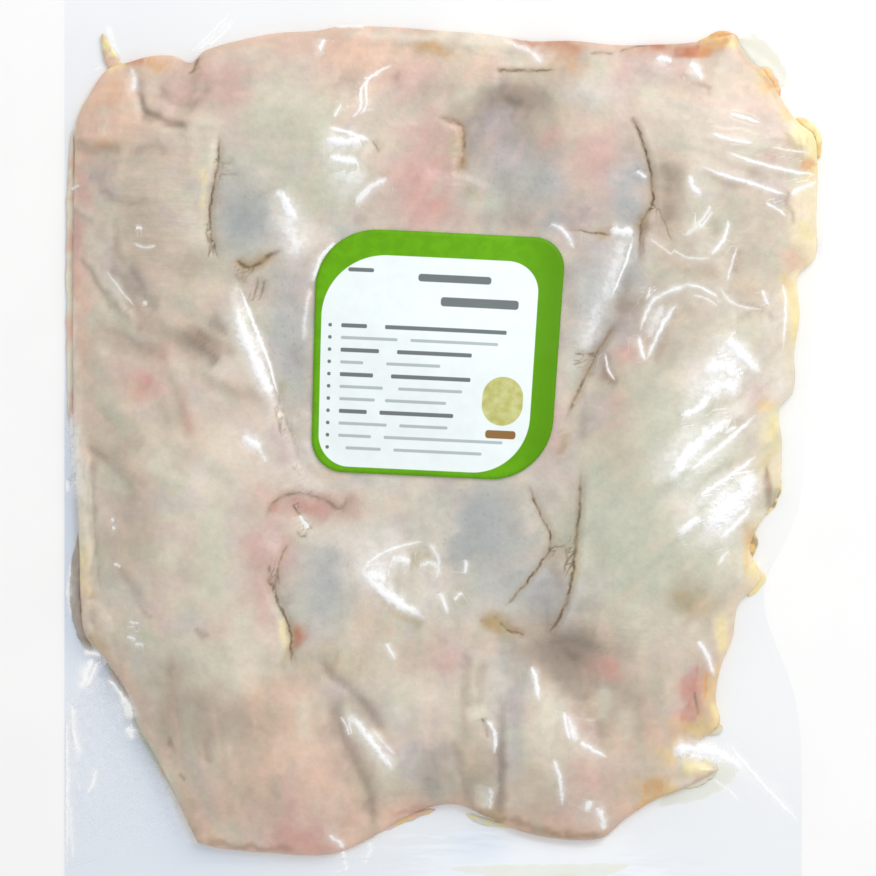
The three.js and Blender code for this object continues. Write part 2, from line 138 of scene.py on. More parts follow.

# Small folds that the skin alone has: half width, depth, darkness, half width of the line of painted shade, places.
SMALL_FOLDS = [
    (1.2, 0.9, 0.85, 0.8, (-82, 46), (-79, 43), (-75, 43), (-70, 46.5), (-63, 49.5)),
    (1.2, 0.9, 0.4, 0.6, (-83, 41), (-80, 36), (-77, 40), (-74, 43)),
    (1.2, 0.8, 0.9, 0.5, (-60, -50), (-56.5, -54.5), (-52, -60)),
    (1.2, 0.9, 0.6, 0.5, (-62, -65.5), (-65, -72), (-65.8, -82)),
    (1.2, 0.9, 0.5, 0.5, (-69, -73), (-68, -79), (-66.5, -85)),
    (1, 0.6, 0.6, 0.45, (-93.5, 57), (-92, 51), (-92.5, 46)),
    (1, 0.5, 0.5, 0.4, (-89, 83.5), (-86, 83), (-83.5, 83.5)),
    (1, 0.5, 0.4, 0.4, (-89, 78.7), (-86, 78.5), (-81, 78.7)),
    (2.7, 1.05, 0, 1.4, (-113.5, 114.5), (-110.5, 110.5), (-105, 107), (-99, 106.5), (-94, 111), (-92, 118)),
    (1.2, 0.9, 0.6, 0.7, (-97, 125.5), (-98.5, 121), (-101, 118.5)),
    (2, 0.6, 0, 1.4, (-138, 73.5), (-130, 69.5), (-124, 67.5), (-114, 67.5)),
    (2.7, 0.68, 0, 1.2, (-148, 67), (-143, 63), (-137, 60)),
    (2.7, 0.9, 0, 1.2, (-145, 48), (-139.5, 42), (-133, 31), (-127, 25)),
    (2.7, 0.83, 0, 1.6, (-133, 43), (-126, 38), (-121, 26), (-117.5, 17)),
    (2.7, 0.68, 0, 1.4, (-142, -25), (-137, -30), (-128, -38), (-121, -47)),
    (2.2, 0.6, 0, 1, (-130, -73), (-124, -80), (-117, -91)),
    (2.2, 0.68, 0, 1, (-109, 3), (-106, -8), (-103, -18), (-100, -26)),
    (2.2, 0.6, 0, 1.2, (-97, 4), (-93, -3), (-88, -5), (-78, -6), (-69, -9)),
    (1, 0.6, 0.6, 0.45, (46.6, -66), (47, -72), (45.6, -77)),
    (1, 0.5, 0.5, 0.4, (41, -66), (44, -66.6), (48, -65)),
    (1, 0.6, 0.75, 0.45, (59, 10), (55, 8.4), (50, 9)),
    (1, 0.5, 0.6, 0.4, (57, 8), (53, 5.5), (49, 5)),
    (1, 0.5, 0.5, 0.4, (80.5, 67), (83, 64), (86, 57), (88, 52)),
    (1.2, 0.7, 0.75, 0.5, (45, 57), (52, 57), (58, 55.5), (66, 55.5)),
    (1, 0.6, 0.7, 0.5, (21, -95.5), (24, -99), (31, -101)),
    (2.1, 0.68, 0, 1.4, (3, -142), (5.5, -152), (9.5, -162), (14, -171)),
    (1.8, 0.45, 0, 1, (14.5, -111), (13, -120), (12, -131)),
    (1.8, 0.52, 0, 0.9, (139.5, 74), (134.5, 71), (134, 66), (137, 59), (141, 53)),
    (1.8, 0.52, 0, 0.9, (112.5, 50), (111.5, 44), (111, 37)),
    (1, 0.6, 0.5, 0.5, (67.5, 127.5), (73, 129), (80, 130.4)),
    (1, 0.5, 0.45, 0.45, (56, 126.6), (61, 127), (66, 126.8)),
    (1, 0.6, 0.5, 0.5, (-73.5, 39), (-74, 34), (-75.5, 29)),
    (1, 0.6, 0.5, 0.5, (-71, 38), (-71.5, 34), (-73, 30)),
    (1.2, 0.7, 0.7, 0.6, (-29, 92), (-27.5, 90), (-26, 87)),
    (2.1, 0.6, 0, 0.9, (-39.5, 117), (-38, 112), (-36.5, 108.5)),
    (1, 0.6, 0.55, 0.5, (-58, -60.5), (-56.5, -62.5), (-54, -62)),
    (1.2, 0.7, 0.7, 0.6, (13.5, -133), (15.5, -137), (16, -141)),
    (1, 0.6, 0.6, 0.6, (97, -123), (98, -128), (98.5, -133)),
    (1.2, 0.6, 0.5, 0.5, (-67, -11), (-65.5, -17), (-64, -24)),
    (1.2, 0.6, 0.5, 0.6, (-60, -35), (-57, -38), (-54, -42)),
    (1.8, 0.45, 0, 1, (-118, -147), (-110, -157), (-102.5, -169)),
]

# Rolled skin along the rim: half width, rise, places.
ROLLS = [
    (4.5, 2, (-47, 131), (-30, 133.5), (0, 132.5), (20, 131.5), (37, 129)),
    (4, 1.8, (-141, -24), (-141.5, -45), (-141.5, -70), (-141, -88)),
    (3, 2, (-141, -88), (-141, -101), (-137, -107), (-130, -109)),
    (3, 1.6, (132, 112), (139, 98), (142, 84), (141, 62), (136, 46)),
]

# Patches of colour in the skin: middle x and y, half sizes, turn in degrees, strength. The shade patches are painted
# shade and the lit patches painted light.
PATCHES = {
    "pale": [
        (-82, 16, 6, 12, 0, 0.4), (-84, -36, 12, 20, 0, 0.45), (-141, -60, 4, 27, 0, 0.8),
        (2, 133, 31, 3, 0, 0.75), (91, 92, 23, 20, 0, 0.55), (138, -1, 4, 12, 0, 0.6),
        (113, -83, 8, 12, 0, 0.4), (-2, -124, 17, 12, 0, 0.35), (45, -140, 8, 12, 0, 0.3),
    ],
    "olive": [
        (-128, 32, 5, 10, 30, 0.5), (-131, -83, 8, 20, 0, 0.45), (-86, -78, 17, 23, 0, 0.35),
        (-96, -111, 23, 9, 0, 0.35), (-142, -103, 2, 8, 0, 0.5),
        (-63, 96, 19, 20, 0, 0.55), (-45, 69, 12, 12, 0, 0.35), (17, 69, 12, 7, 0, 0.5),
        (99, 46, 17, 12, 0, 0.3), (113, 14, 12, 10, 0, 0.3), (76, -56, 34, 38, 0, 0.9),
        (-18, -87, 12, 12, 0, 0.4), (-6, -56, 8, 8, 0, 0.35),
        (84, -64, 30, 26, 0, 0.4), (-104, -112, 14, 10, 0, 0.4), (-92, -136, 8, 12, 0, 0.35),
        (-104, -125, 6, 8, 0, 0.4), (-80, -135, 6, 6, 0, 0.35),
    ],
    "tan": [
        (-115, 124, 10, 4, 0, 0.6), (-104, 53, 14, 23, 0, 0.25),
        (-96, -17, 20, 9, 30, 0.4), (-127, -29, 12, 20, 0, 0.3), (-68, -126, 10, 10, 0, 0.6),
        (-100, -171, 4, 16, 15, 0.6), (-109, -140, 5, 12, 25, 0.5), (-6, 128, 16, 2, 0, 0.6),
        (112, 41, 8, 9, 0, 0.45), (82, 34, 5, 23, 0, 0.45), (123, 26, 9, 5, -20, 0.4),
        (68, -19, 12, 17, 0, 0.5), (76, -162, 20, 7, 0, 0.8), (76, -134, 12, 9, 0, 0.3),
        (12, -152, 4, 16, 0, 0.6), (-18, -165, 16, 6, 0, 0.4),
        (44, 120, 10, 7, 0, 0.5), (12, 88, 22, 18, 0, 0.35), (46, 101, 12, 10, 0, 0.4),
        (-120, -70, 12, 16, 0, 0.45), (-85, -150, 34, 28, 0, 0.3), (60, -152, 26, 22, 0, 0.35),
        (62, -12, 8, 16, 0, 0.55), (-103, 13, 10, 8, 0, 0.5),
        (-95, 46, 10, 12, 0, 0.4), (-112, 40, 12, 16, 0, 0.3), (64, -120, 26, 20, 0, 0.4),
        (-78, -152, 8, 16, 0, 0.35),
        (62, -10, 9, 12, 0, 0.5), (-102, 12, 9, 9, 0, 0.4), (38, 95, 12, 9, 0, 0.4),
    ],
    "peach": [
        (-135, 105, 12, 16, 0, 0.75), (-145, 22, 4, 20, 0, 0.5), (-57, -152, 20, 27, 0, 0.7),
        (-41, -177, 8, 8, 0, 0.6), (-39, 128, 16, 7, 0, 0.8), (139, 49, 5, 8, 0, 0.5),
        (-6, -170, 16, 2, 0, 0.5),
        (112, 113, 18, 16, 0, 0.45), (-33, 117, 16, 9, 0, 0.4), (-8, 122, 22, 7, 0, 0.4),
        (-117, 102, 12, 10, 0, 0.4), (-72, -132, 16, 16, 0, 0.35), (-136, 90, 8, 6, 0, 0.6),
        (-44, -178, 12, 8, 0, 0.35), (-142, -20, 6, 40, 0, 0.3), (36, -172, 26, 8, 0, 0.35),
        (-132, 106, 11, 15, 0, 0.9), (-86, -168, 14, 14, 0, 0.4), (-68, -126, 7, 9, 0, 0.4),
        (78, -140, 22, 10, 0, 0.4), (120, -112, 6, 10, 0, 0.3),
        (112, 116, 18, 14, 0, 0.45), (0, 122, 18, 6, 0, 0.4), (-66, -130, 12, 10, 0, 0.4),
    ],
    "blush": [
        (-102, 115, 13, 8, 0, 0.5), (-81, 121, 14, 8, 0, 0.4), (-139, 77, 7, 9, 0, 0.4),
        (-145, 57, 4, 23, 0, 0.5), (-118, -3, 11, 7, 0, 0.85), (-72, -87, 5, 20, 0, 0.55),
        (-61, -167, 5, 13, 0, 0.6), (-57, 128, 12, 8, 0, 0.3), (-26, 117, 23, 5, 0, 0.35),
        (-8, 74, 14, 18, 0, 1), (-2, 97, 8, 6, 0, 0.6), (61, 83, 16, 16, 0, 0.75),
        (-12, -109, 16, 5, 0, 0.35), (-66, -66, 7, 16, 0, 0.55),
        (-100, 113, 12, 8, 0, 0.45), (-64, -174, 12, 10, 0, 0.45), (-88, -100, 5, 8, 0, 0.3),
        (-84, 108, 8, 8, 0, 0.35), (82, 122, 10, 6, 0, 0.35),
    ],
    "rose": [
        (-73, -25, 9, 23, 20, 0.55), (-80, -72, 5, 16, 0, 0.3), (-28, 63, 12, 5, 0, 0.4),
        (60, 67, 13, 7, 0, 0.6), (45, 59, 12, 3, 0, 0.5), (82, 121, 12, 8, 0, 0.55),
        (120, 110, 6, 4, 0, 0.4), (127, 96, 6, 5, 0, 0.4), (39, -36, 9, 10, 0, 0.7),
        (43, -9, 3, 23, 0, 0.7), (-57, -25, 6, 12, 0, 0.6), (60, -158, 12, 12, 0, 0.45),
        (55, -132, 6, 9, 0, 0.55),
    ],
    "thin": [
        (-79, 63, 12, 18, 0, 1), (23, 80, 14, 14, 0, 0.75), (39, 78, 6, 10, 0, 0.8),
        (71, 73, 7, 15, 0, 1), (13, -60, 21, 20, 0, 1), (-45, -80, 11, 18, 0, 0.7),
        (25, -126, 7, 24, 0, 0.5),
    ],
    "cool": [
        (39, -83, 8, 10, 0, 0.7), (-61, 18, 9, 26, 0, 0.85), (56, 30, 9, 22, 0, 0.75),
        (-41, 55, 5, 3, 0, 0.6), (-34, -43, 16, 3, 0, 0.6),
        (70, 40, 9, 18, 0, 0.7), (22, 68, 18, 7, 0, 0.45), (-53, -93, 9, 12, 0, 0.5),
        (20, -86, 24, 9, 0, 0.55), (42, -90, 8, 10, 0, 0.4),
    ],
    "shade": [
        (-121, 57, 7, 16, 0, 0.35),
        (-116, 22, 12, 4, -30, 0.35), (-94, 14, 10, 5, -30, 0.95), (-112, 12, 9, 4, 20, 0.45),
        (-125, -48, 6, 18, 15, 0.35), (-104, -126, 12, 16, 0, 0.45), (-88, -136, 17, 11, 0, 0.5),
        (-73, -162, 6, 16, 0, 0.25), (25, 108, 14, 7, 0, 0.95), (21, 98, 13, 8, 0, 0.5),
        (88, 71, 6, 18, 0, 0.5), (50, -109, 16, 10, 0, 1), (60, -124, 12, 8, 0, 0.5),
        (-34, -127, 12, 4, -35, 0.55), (-39, -154, 5, 20, 22, 0.4), (4, -156, 12, 12, 0, 0.45),
        (35, -99, 13, 8, 0, 0.55), (34, -111, 12, 8, 0, 0.35), (12, 92, 12, 10, 0, 0.3),
        (27, 66, 14, 6, 0, 0.3),
        (14, 70, 16, 12, 0, 0.3), (49, 31, 5, 24, 0, 0.4), (38, 94, 9, 8, 0, 0.3), (-103, 11, 8, 6, 0, 0.35),
        (62, -10, 7, 12, 0, 0.2), (32, 61, 16, 4, 0, 0.35),
    ],
    "cream": [
        (102, -20, 22, 42, 0, 0.6), (118, 20, 14, 14, 0, 0.3), (110, 112, 12, 10, 0, 0.3),
        (-70, 112, 12, 12, 0, 0.3), (-82, -112, 20, 10, 0, 0.35), (-60, -132, 6, 14, 0, 0.5),
        (20, -122, 8, 8, 0, 0.3), (-30, -112, 16, 8, 0, 0.4), (100, -152, 12, 4, 0, 0.6),
    ],
    "lit": [
        (-66, -28, 9, 24, 20, 0.65), (-54, -50, 16, 9, -10, 0.5), (-34, -62, 18, 14, 0, 0.7),
        (-24, -76, 16, 12, 0, 0.6), (-30, -117, 10, 15, 35, 0.7), (108, -6, 22, 14, 0, 0.5),
        (94, -20, 14, 14, 0, 0.45), (102, -54, 18, 14, 0, 0.45), (-24, -44, 22, 5, 0, 0.45),
        (-72, 78, 8, 8, 0, 0.6), (-53, 50, 7, 9, 0, 0.4),
        (128, -4, 8, 10, 0, 0.5), (-145, -31, 3, 10, 0, 0.6), (-60, -43, 9, 8, 0, 0.5),
    ],
    "red": [
        (-110, 8, 8, 5, 0, 0.3), (-56, -182, 10, 5, 0, 0.7), (71, 10, 6, 6, 0, 0.55),
        (-53, -51, 18, 5, 0, 0.55), (-39, -52, 6, 4, 0, 0.5), (62, -114, 8, 5, 0, 0.4),
        (96, -127, 5, 12, -10, 1),
    ],
    "brown": [
        (77, 59, 3, 4, 0, 0.7), (43, -76, 4, 10, 0, 0.35), (35, -179, 23, 3, 0, 0.4),
    ],
    "ochre": [
        (-140, -83, 3, 5, 0, 0.7), (-137, -100, 5, 8, 0, 0.25), (5, 90, 2.5, 9, 0, 0.35),
        (134, 92, 4, 4, 0, 0.6), (126.5, -46, 2, 7, 0, 0.4), (96, -88, 9, 8, 0, 0.6),
        (20, -96, 5, 4, 0, 0.9), (-39, -113, 13, 7, 0, 0.5), (-61, -103, 2, 7, 0, 0.7),
        (17, -171, 6, 3, 0, 0.8),
    ],
    "amber": [
        (110, 131, 8, 3, 0, 0.85), (126, 117, 5, 5, 0, 0.6), (120, -64, 3, 8, 0, 0.45),
        (104, -122, 3, 9, 0, 0.6), (84, -160, 9, 4, 0, 0.5), (99, -136, 10, 5, 0, 0.55),
    ],
    "fat": [
        (-147, 88, 2, 18, 0, 0.4), (143, 88, 4, 14, 0, 0.9), (139, 97, 6, 4, 0, 0.8),
        (141, 59, 5, 17, 0, 0.6), (136, 30, 3, 14, 0, 0.75), (127, -27, 4, 14, 0, 0.7),
        (122, -79, 4, 5, 0, 0.8), (109, -103, 4, 10, 0, 0.5),
    ],
    "rust": [
        (33, 131, 7, 2, 0, 0.5), (45, 128, 7, 5, 0, 1), (95, 128, 11, 2, 0, 1),
        (82, 130, 9, 2, 0, 0.6), (-57.5, -101, 2.5, 4, -40, 0.7),
    ],
}

# Strokes of colour in the skin: half width, strength, places. The shade, groove and line strokes are painted shade, the
# lit strokes painted light, and some cream and mist strokes painted highlights on ridges, on the left rim and where the
# film has a sheen.
STROKES = {
    "mist": [
        (8, 0.45, (-30, -60), (-18, -62)), (4, 0.4, (-42, -128), (-30, -142), (-20, -153)),
        (7, 0.4, (-24, -128), (-16, -138)), (5, 0.5, (20, -108), (19, -128)), (6, 0.5, (52, 114), (60, 105)),
        (5, 0.5, (-42, 74), (-32, 76)), (5, 0.4, (84, -22), (83, -40)), (4, 0.5, (53, 40), (52, 20), (49, 0)),
        (3, 0.5, (15, -160), (16, -168)), (3, 0.4, (64, 20), (70, 36)),
    ],
    "lit": [
        (2, 0.55, (-140, 46), (-133, 37), (-126, 29), (-121, 24)), (1.5, 0.5, (-148, 69), (-142, 64.5), (-134, 60)),
        (1.2, 0.8, (-123, 118), (-123.2, 111)), (1, 0.6, (-136, 105), (-136.5, 96)), (2.5, 0.45, (-104, 10), (-102, -6), (-97, -14)),
        (1.8, 0.6, (-147, 32), (-146, 0)), (2.2, 0.9, (-145, -30), (-143, -45), (-141.8, -62)),
        (1.8, 0.85, (-141, -62), (-140.5, -86)), (1.4, 0.8, (-141, -88), (-136, -89), (-132, -94), (-130, -98)),
        (6, 0.35, (-86, -108), (-70, -112)), (3, 0.5, (-8, -50), (-4, -60), (-3, -72)), (2, 0.4, (2, -147), (5, -158)),
        (2.5, 0.6, (10, 133), (24, 132)), (1.8, 0.6, (-38, 134), (-12, 133.5)), (7, 0.45, (-5, -120), (-6, -128)),
        (8, 0.5, (90, 108), (96, 96)), (5, 0.45, (41, -122), (42, -136)), (6, 0.35, (-84, 8), (-88, -10)),
        (3, 0.5, (36, 127), (37, 123)), (5, 0.4, (-136, 54), (-134, 50)), (3, 0.6, (139, 66), (140, 60)),
        (2, 0.5, (-49, 133), (-49, 125)), (3, 0.5, (31, -50), (33, -62)), (3, 0.5, (132, 12), (131, 4)),
        (3, 0.6, (-148, 20), (-146, 0), (-146, -20)), (6, 0.5, (-92, 10), (-86, 0)), (8, 0.4, (-85, -20), (-82, -45)),
        (1.6, 0.9, (-57.5, -54), (-54, -59)), (2, 0.5, (-107, 12), (-106, 2), (-104, -10)), (3, 0.5, (-74, -98), (-68, -104)),
        (5, 0.7, (-144, -30), (-143.5, -50)), (6, 0.6, (-58, -20), (-57, -30)), (4, 0.7, (130, -2), (128, -10)),
        (5, 0.4, (-48, -178), (-42, -180)),
        (2, 0.9, (-147, -20), (-144.4, -40), (-142.6, -60)), (5, 0.5, (128, 2), (130, -10)),
        (3, 0.8, (88, -160), (98, -159)), (3, 0.6, (130, -34), (131, -26)),
        (1.6, 0.7, (-139, 44), (-131, 35), (-121, 22)), (1.4, 0.6, (-134, 118), (-133, 104), (-134, 93)),
        (1.6, 0.5, (80, 56), (88, 47), (97, 44), (104, 48), (109, 60)), (1.6, 0.5, (105, 44), (109, 34), (112, 22)),
        (1.6, 0.5, (76, 25), (81, 30), (94, 36), (105, 35), (112, 28), (124, 26)), (1.2, 0.5, (99, 83), (112, 79), (124, 74)),
        (4, 0.6, (-142, -98), (-134, -94), (-131, -104)), (5, 0.4, (-110, -60), (-104, -76)), (6, 0.4, (-100, -34), (-94, -52)),
        (4, 0.5, (-2, -52), (4, -62)), (5, 0.4, (22, -122), (20, -138)), (4, 0.5, (36, -132), (38, -148)),
        (3, 0.5, (-141, 56), (-135, 48)), (4, 0.5, (-143, -36), (-141, -56)), (4, 0.4, (-56, -20), (-52, -32)),
        (1.2, 0.9, (-144.5, -28), (-143.5, -44), (-143, -52)), (0.8, 0.8, (-140, -34), (-138.8, -46), (-138.6, -60)),
    ],
    "peach": [
        (5, 0.75, (-128, 120), (-136, 108), (-136, 97)), (4, 0.8, (-121, 122), (-110, 123), (-105, 121)),
        (4, 0.7, (-40, 131), (-28, 129)), (6, 0.5, (-60, -134), (-60, -150)), (6, 0.45, (-74, -144), (-76, -156)),
        (5, 0.5, (-43, 122), (-24, 123)), (3, 0.7, (-142, 34), (-141, 26)), (5, 0.5, (-116, -8), (-124, -2)),
        (3, 0.6, (-95, -172), (-93, -181)), (7, 0.45, (50, -156), (66, -158)), (4, 0.6, (65, -166), (74, -171)),
        (4, 0.75, (136, 49), (134, 42)), (5, 0.4, (-30, -168), (-38, -160)), (4, 0.5, (-58, -118), (-66, -124)),
        (5, 0.6, (-40, -172), (-22, -172), (-10, -168)), (5, 0.6, (25, -173), (45, -177), (60, -178)),
        (8, 0.5, (-48, -150), (-46, -165)), (5, 0.6, (-46, 128), (-30, 126)), (4, 0.5, (-28, 130), (-12, 126)),
        (5, 0.5, (-72, -128), (-62, -138)), (5, 0.5, (-86, -164), (-84, -176)), (3, 0.4, (-68, -150), (-70, -160)),
        (7, 0.35, (-44, 116), (-30, 112)), (7, 0.4, (4, 122), (20, 121)), (7, 0.35, (110, 118), (118, 112)),
        (5, 0.4, (-24, -177), (-16, -175)), (6, 0.5, (-66, -126), (-72, -136)), (5, 0.4, (52, -126), (60, -134)),
        (6, 0.5, (-58, -120), (-60, -136)), (5, 0.5, (76, -138), (90, -142)),
        (3, 0.5, (-101, 118), (-95, 118)),
        (3, 0.35, (-146, -10), (-144, -36), (-142, -52), (-140.5, -66)),
    ],
    "blush": [
        (3, 0.5, (-144, 84), (-143, 70)), (3, 0.5, (-146, 62), (-146, 50)), (4, 0.6, (-110, 14), (-111, 6)),
        (3, 0.5, (-74, -60), (-72, -98)), (3, 0.55, (-96, 124), (-94, 116)), (5, 0.5, (-88, 118), (-80, 114)),
        (5, 0.5, (-10, 94), (-4, 88)), (4, 0.6, (-12, 66), (0, 66)), (4, 0.5, (41, 98), (39, 92)),
        (4, 0.5, (86, 124), (94, 119)), (3, 0.45, (68, 10), (74, 8)), (5, 0.45, (68, -6), (66, -22)),
        (5, 0.5, (-58, -182), (-48, -176)), (3, 0.5, (-66, -46), (-50, -52)), (3, 0.4, (72, 127), (69, 121), (69.5, 114)),
        (3, 0.4, (118, 104), (121, 98)), (3, 0.4, (124, 86), (130, 84)), (4, 0.5, (-64, -20), (-62, -34)),
        (3, 0.5, (54, -132), (58, -141)), (4, 0.5, (120, -2), (122, -12)), (3, 0.35, (42, -10), (42, -30)),
        (7, 0.7, (-14, 72), (-4, 66)), (6, 0.6, (-10, 80), (0, 76)), (5, 0.5, (-18, 95), (-8, 92)),
        (5, 0.5, (40, 95), (40, 88)), (6, 0.4, (-20, 116), (0, 114)), (6, 0.45, (-78, -62), (-72, -75)),
        (3, 0.5, (47, -130), (49, -140)), (4, 0.4, (-88, 106), (-78, 112)),
        (5, 0.5, (-74, -40), (-66, -60)), (6, 0.45, (-60, -46), (-44, -52)), (4, 0.5, (-64, -62), (-62, -76)),
        (5, 0.4, (-4, -116), (6, -108)), (5, 0.4, (50, -148), (58, -160)),
    ],
    "taupe": [
        (2.5, 0.5, (-98, 5), (-94, -3), (-88, -5), (-78, -6), (-70, -9)), (4, 0.5, (75, 32), (73, 16)),
        (3.5, 0.6, (88, 26), (84, 15), (82, 4)), (5, 0.45, (96, 28), (92, 22)), (2, 0.6, (115, 79), (130, 76)),
        (3, 0.5, (92, 42), (100, 42), (105, 37)), (4, 0.4, (-134, -14), (-127, -19)), (3, 0.4, (-112, -10), (-108, -18)),
        (3, 0.4, (-130, -100), (-125, -111)), (5, 0.5, (43, -68), (43, -72)), (3, 0.5, (28, -96), (38, -101)),
        (3, 0.5, (-107, 3), (-106, -8), (-103, -18), (-100, -25)), (2.5, 0.5, (-85, -148), (-84, -163)),
        (3.5, 0.55, (-67, -155), (-66, -173)), (2.5, 0.6, (-101, -164), (-97, -180)), (3, 0.4, (-1, -100), (-8, -107), (-16, -108)),
        (4, 0.35, (108, 68), (120, 60)), (6, 0.3, (-116, 60), (-114, 46)), (4, 0.4, (-140, 16), (-138, -8)),
        (4, 0.45, (62, -132), (64, -146)), (6, 0.35, (70, -118), (78, -128)), (3, 0.5, (-15, 128), (-4, 127.5)),
        (4, 0.6, (-135, 17), (-122, 12), (-108, 10)), (6, 0.45, (-133, 0), (-130, -12), (-127, -22)),
        (3, 0.6, (-130, -28), (-124, -36), (-117, -44)), (3, 0.5, (-95, -2), (-85, -5), (-72, -9)),
        (4, 0.5, (-120, 20), (-112, 18)), (5, 0.4, (-115, -50), (-118, -66)), (3, 0.5, (-10, 112), (6, 113)),
        (3, 0.5, (75, -122), (75, -140)), (3, 0.45, (84, -112), (83, -128)), (5, 0.5, (56, -100), (70, -106)),
        (4, 0.5, (-105, -110), (-105, -130)), (4, 0.5, (-93, -136), (-92, -150)), (3, 0.5, (-80, -131), (-79, -140)),
        (3, 0.45, (-68, -158), (-66, -172)), (5, 0.4, (-112, 42), (-112, 54)), (4, 0.4, (-116, 66), (-118, 60)),
        (5, 0.55, (71, 32), (69, 16)), (5, 0.45, (72, 52), (70, 42)), (5, 0.4, (34, 62), (40, 58)), (5, 0.4, (88, 84), (88, 58)),
        (4, 0.5, (-131, -114), (-122, -126), (-117, -136)), (6, 0.4, (2, -80), (8, -88)),
        (7, 0.5, (-42, 116), (-32, 112)), (6, 0.45, (38, 60), (34, 64)), (6, 0.45, (72, 48), (70, 40)),
        (7, 0.5, (-68, -128), (-74, -138)), (7, 0.5, (54, -124), (60, -132)), (5, 0.4, (112, -16), (117, -22)),
        (5, 0.4, (38, 130), (48, 120)), (4, 0.45, (-100, 52), (-100, 36)),
        (7, 0.55, (-124, 88), (-110, 85), (-98, 85)), (8, 0.45, (-121, 78), (-119, 46)), (9, 0.4, (114, 62), (118, 44)),
        (5, 0.4, (95, 42), (106, 40)), (3, 0.4, (84, 50), (92, 42)), (6, 0.45, (86, 82), (86, 56)), (3.5, 0.5, (116, 34), (128, 30)),
        (5, 0.15, (-140, 60), (-132, 56)), (5, 0.35, (88, 14), (86, 4)), (3, 0.5, (-99, 104), (-106, 103)),
        (6, 0.4, (-128, -60), (-126, -82)), (5, 0.4, (-60, -108), (-52, -120)), (6, 0.4, (64, -124), (70, -140)),
        (7, 0.35, (-96, -120), (-92, -140)),
    ],
    "haze": [
        (6, 0.7, (14, 100), (24, 98)), (3, 0.4, (24, 94), (28, 86)), (4, 0.55, (56, 66), (52, 62)), (5, 0.5, (-10, -148), (4, -146)),
        (3.5, 0.5, (-8, -156), (-3, -166)), (2.5, 0.45, (54, -5), (54, -26)), (2.5, 0.45, (26, -120), (26, -136)),
        (3.5, 0.6, (-63, -84), (-62, -90)), (5, 0.55, (36, -80), (37, -90)), (2, 0.5, (-146.5, -46), (-145.8, -80)),
        (3, 0.5, (-140, 79), (-132, 77)), (3, 0.4, (-60, 12), (-58, 4)), (3, 0.5, (30, 90), (29, 84)),
        (5, 0.5, (11, 102), (11, 86)), (5, 0.4, (20, 96), (34, 88)),
    ],
    "groove_shade": [
        (1.8, 0.7, (-120.8, 119), (-119.3, 108), (-117.8, 103), (-112, 100.5), (-104, 97.5), (-99, 96.5)),
        (1.6, 0.6, (-113, 114.5), (-110.5, 110.5), (-105, 107), (-100, 106), (-96, 108), (-92.5, 117)),
        (2.2, 0.45, (-144, 92.5), (-138, 90), (-130, 89)), (1.3, 0.55, (-137, 73), (-130, 69.5), (-124, 67.5), (-115, 67)),
        (1.2, 0.4, (-147, 66), (-143, 63), (-138, 60)), (1.1, 0.4, (-144, 47), (-139, 41.5), (-133, 31), (-128, 26)),
        (2, 0.5, (-132, 42), (-126, 38), (-121, 25), (-118, 18)), (1.5, 0.4, (-128, 62), (-128, 50), (-126, 44)),
        (1.8, 0.4, (-136, 20), (-128, 17), (-118, 12), (-108, 7)), (1.6, 0.45, (-142, -25), (-137, -30), (-128, -38), (-122, -46)),
        (1.6, 0.4, (-129, -74), (-123, -81), (-118, -90), (-113, -93)), (1.2, 0.45, (-139, -30), (-138.3, -50), (-137.5, -84)),
        (1.5, 0.5, (-139, -92), (-137, -98)), (3, 0.55, (-49, -110), (-44, -118), (-38, -123), (-31, -131), (-25, -140)),
        (2.8, 0.6, (-46, -129), (-42, -139), (-37, -151), (-31, -164), (-28, -179)), (1.8, 0.55, (3, -142), (5, -152), (9, -162), (13, -170)),
        (1.6, 0.5, (21, -130), (21.5, -150), (21, -172)), (1.4, 0.35, (14, -112), (12, -130)), (2.5, 0.5, (60, -128), (60.5, -142)),
        (1.8, 0.5, (112.5, 50), (112, 38)), (1.4, 0.5, (130, 22), (121, 26.5), (113, 28)), (2, 0.45, (118, 74), (108, 76), (99, 80)),
        (3, 0.4, (-107, -108), (-107, -132)), (2.5, 0.35, (-92, -136), (-93, -150)), (1, 0.5, (134, 72), (134, 66), (137, 59)),
        (2.5, 0.4, (92, -88), (97, -93), (92, -99)), (1.5, 0.45, (-17, 119), (-21, 116)), (3, 0.55, (62, 6), (64, -2)),
        (2, 0.4, (-30, 62), (-36, 60)), (1.6, 0.5, (92, 118), (104, 111)), (2, 0.45, (100, -19), (110, -23)),
        (2, 0.45, (101, -39), (112, -34)), (1.2, 0.4, (8, 128), (20, 124)),
        (0.9, 0.5, (-144.6, -20), (-141.6, -36), (-139.4, -60)),
    ],
    "shade": [
        (3.5, 0.75, (-103, 17), (-97, 14), (-92, 9.5), (-88, 5)), (2.5, 0.3, (-91, 24), (-87, 18)),
        (3, 0.6, (70, 42), (69, 26), (64, 15), (58, 8)), (3.5, 0.55, (84, 84), (86.5, 72), (86, 58)), (5, 0.6, (16, 109), (34, 107)),
        (7, 0.7, (43, -106), (56, -110)), (4.5, 0.55, (46, -117), (56, -128)),
        (3, 0.8, (-101, 15), (-96, 13), (-91, 9), (-88, 6)), (2.5, 0.5, (-91, 22), (-88, 19), (-85, 17)),
        (3, 0.5, (-43, -125), (-38, -138), (-33, -152), (-29, -168)), (6, 0.55, (44, -102), (46, -118)),
        (2.5, 0.5, (21.5, -140), (22, -156), (21.5, -170)), (4, 0.3, (-5, -146), (-8, -158)),
        (4, 0.55, (18, 107), (30, 110), (40, 108)), (2.5, 0.4, (22, 100), (24, 96)), (2.5, 0.5, (-120, 90), (-108, 88)),
        (2, 0.5, (-118, 102), (-113, 100)),
        (3.4, 0.8, (-99, 15.5), (-95, 13), (-93, 11)), (4, 0.35, (-134, -10), (-126, -22), (-118, -27)),
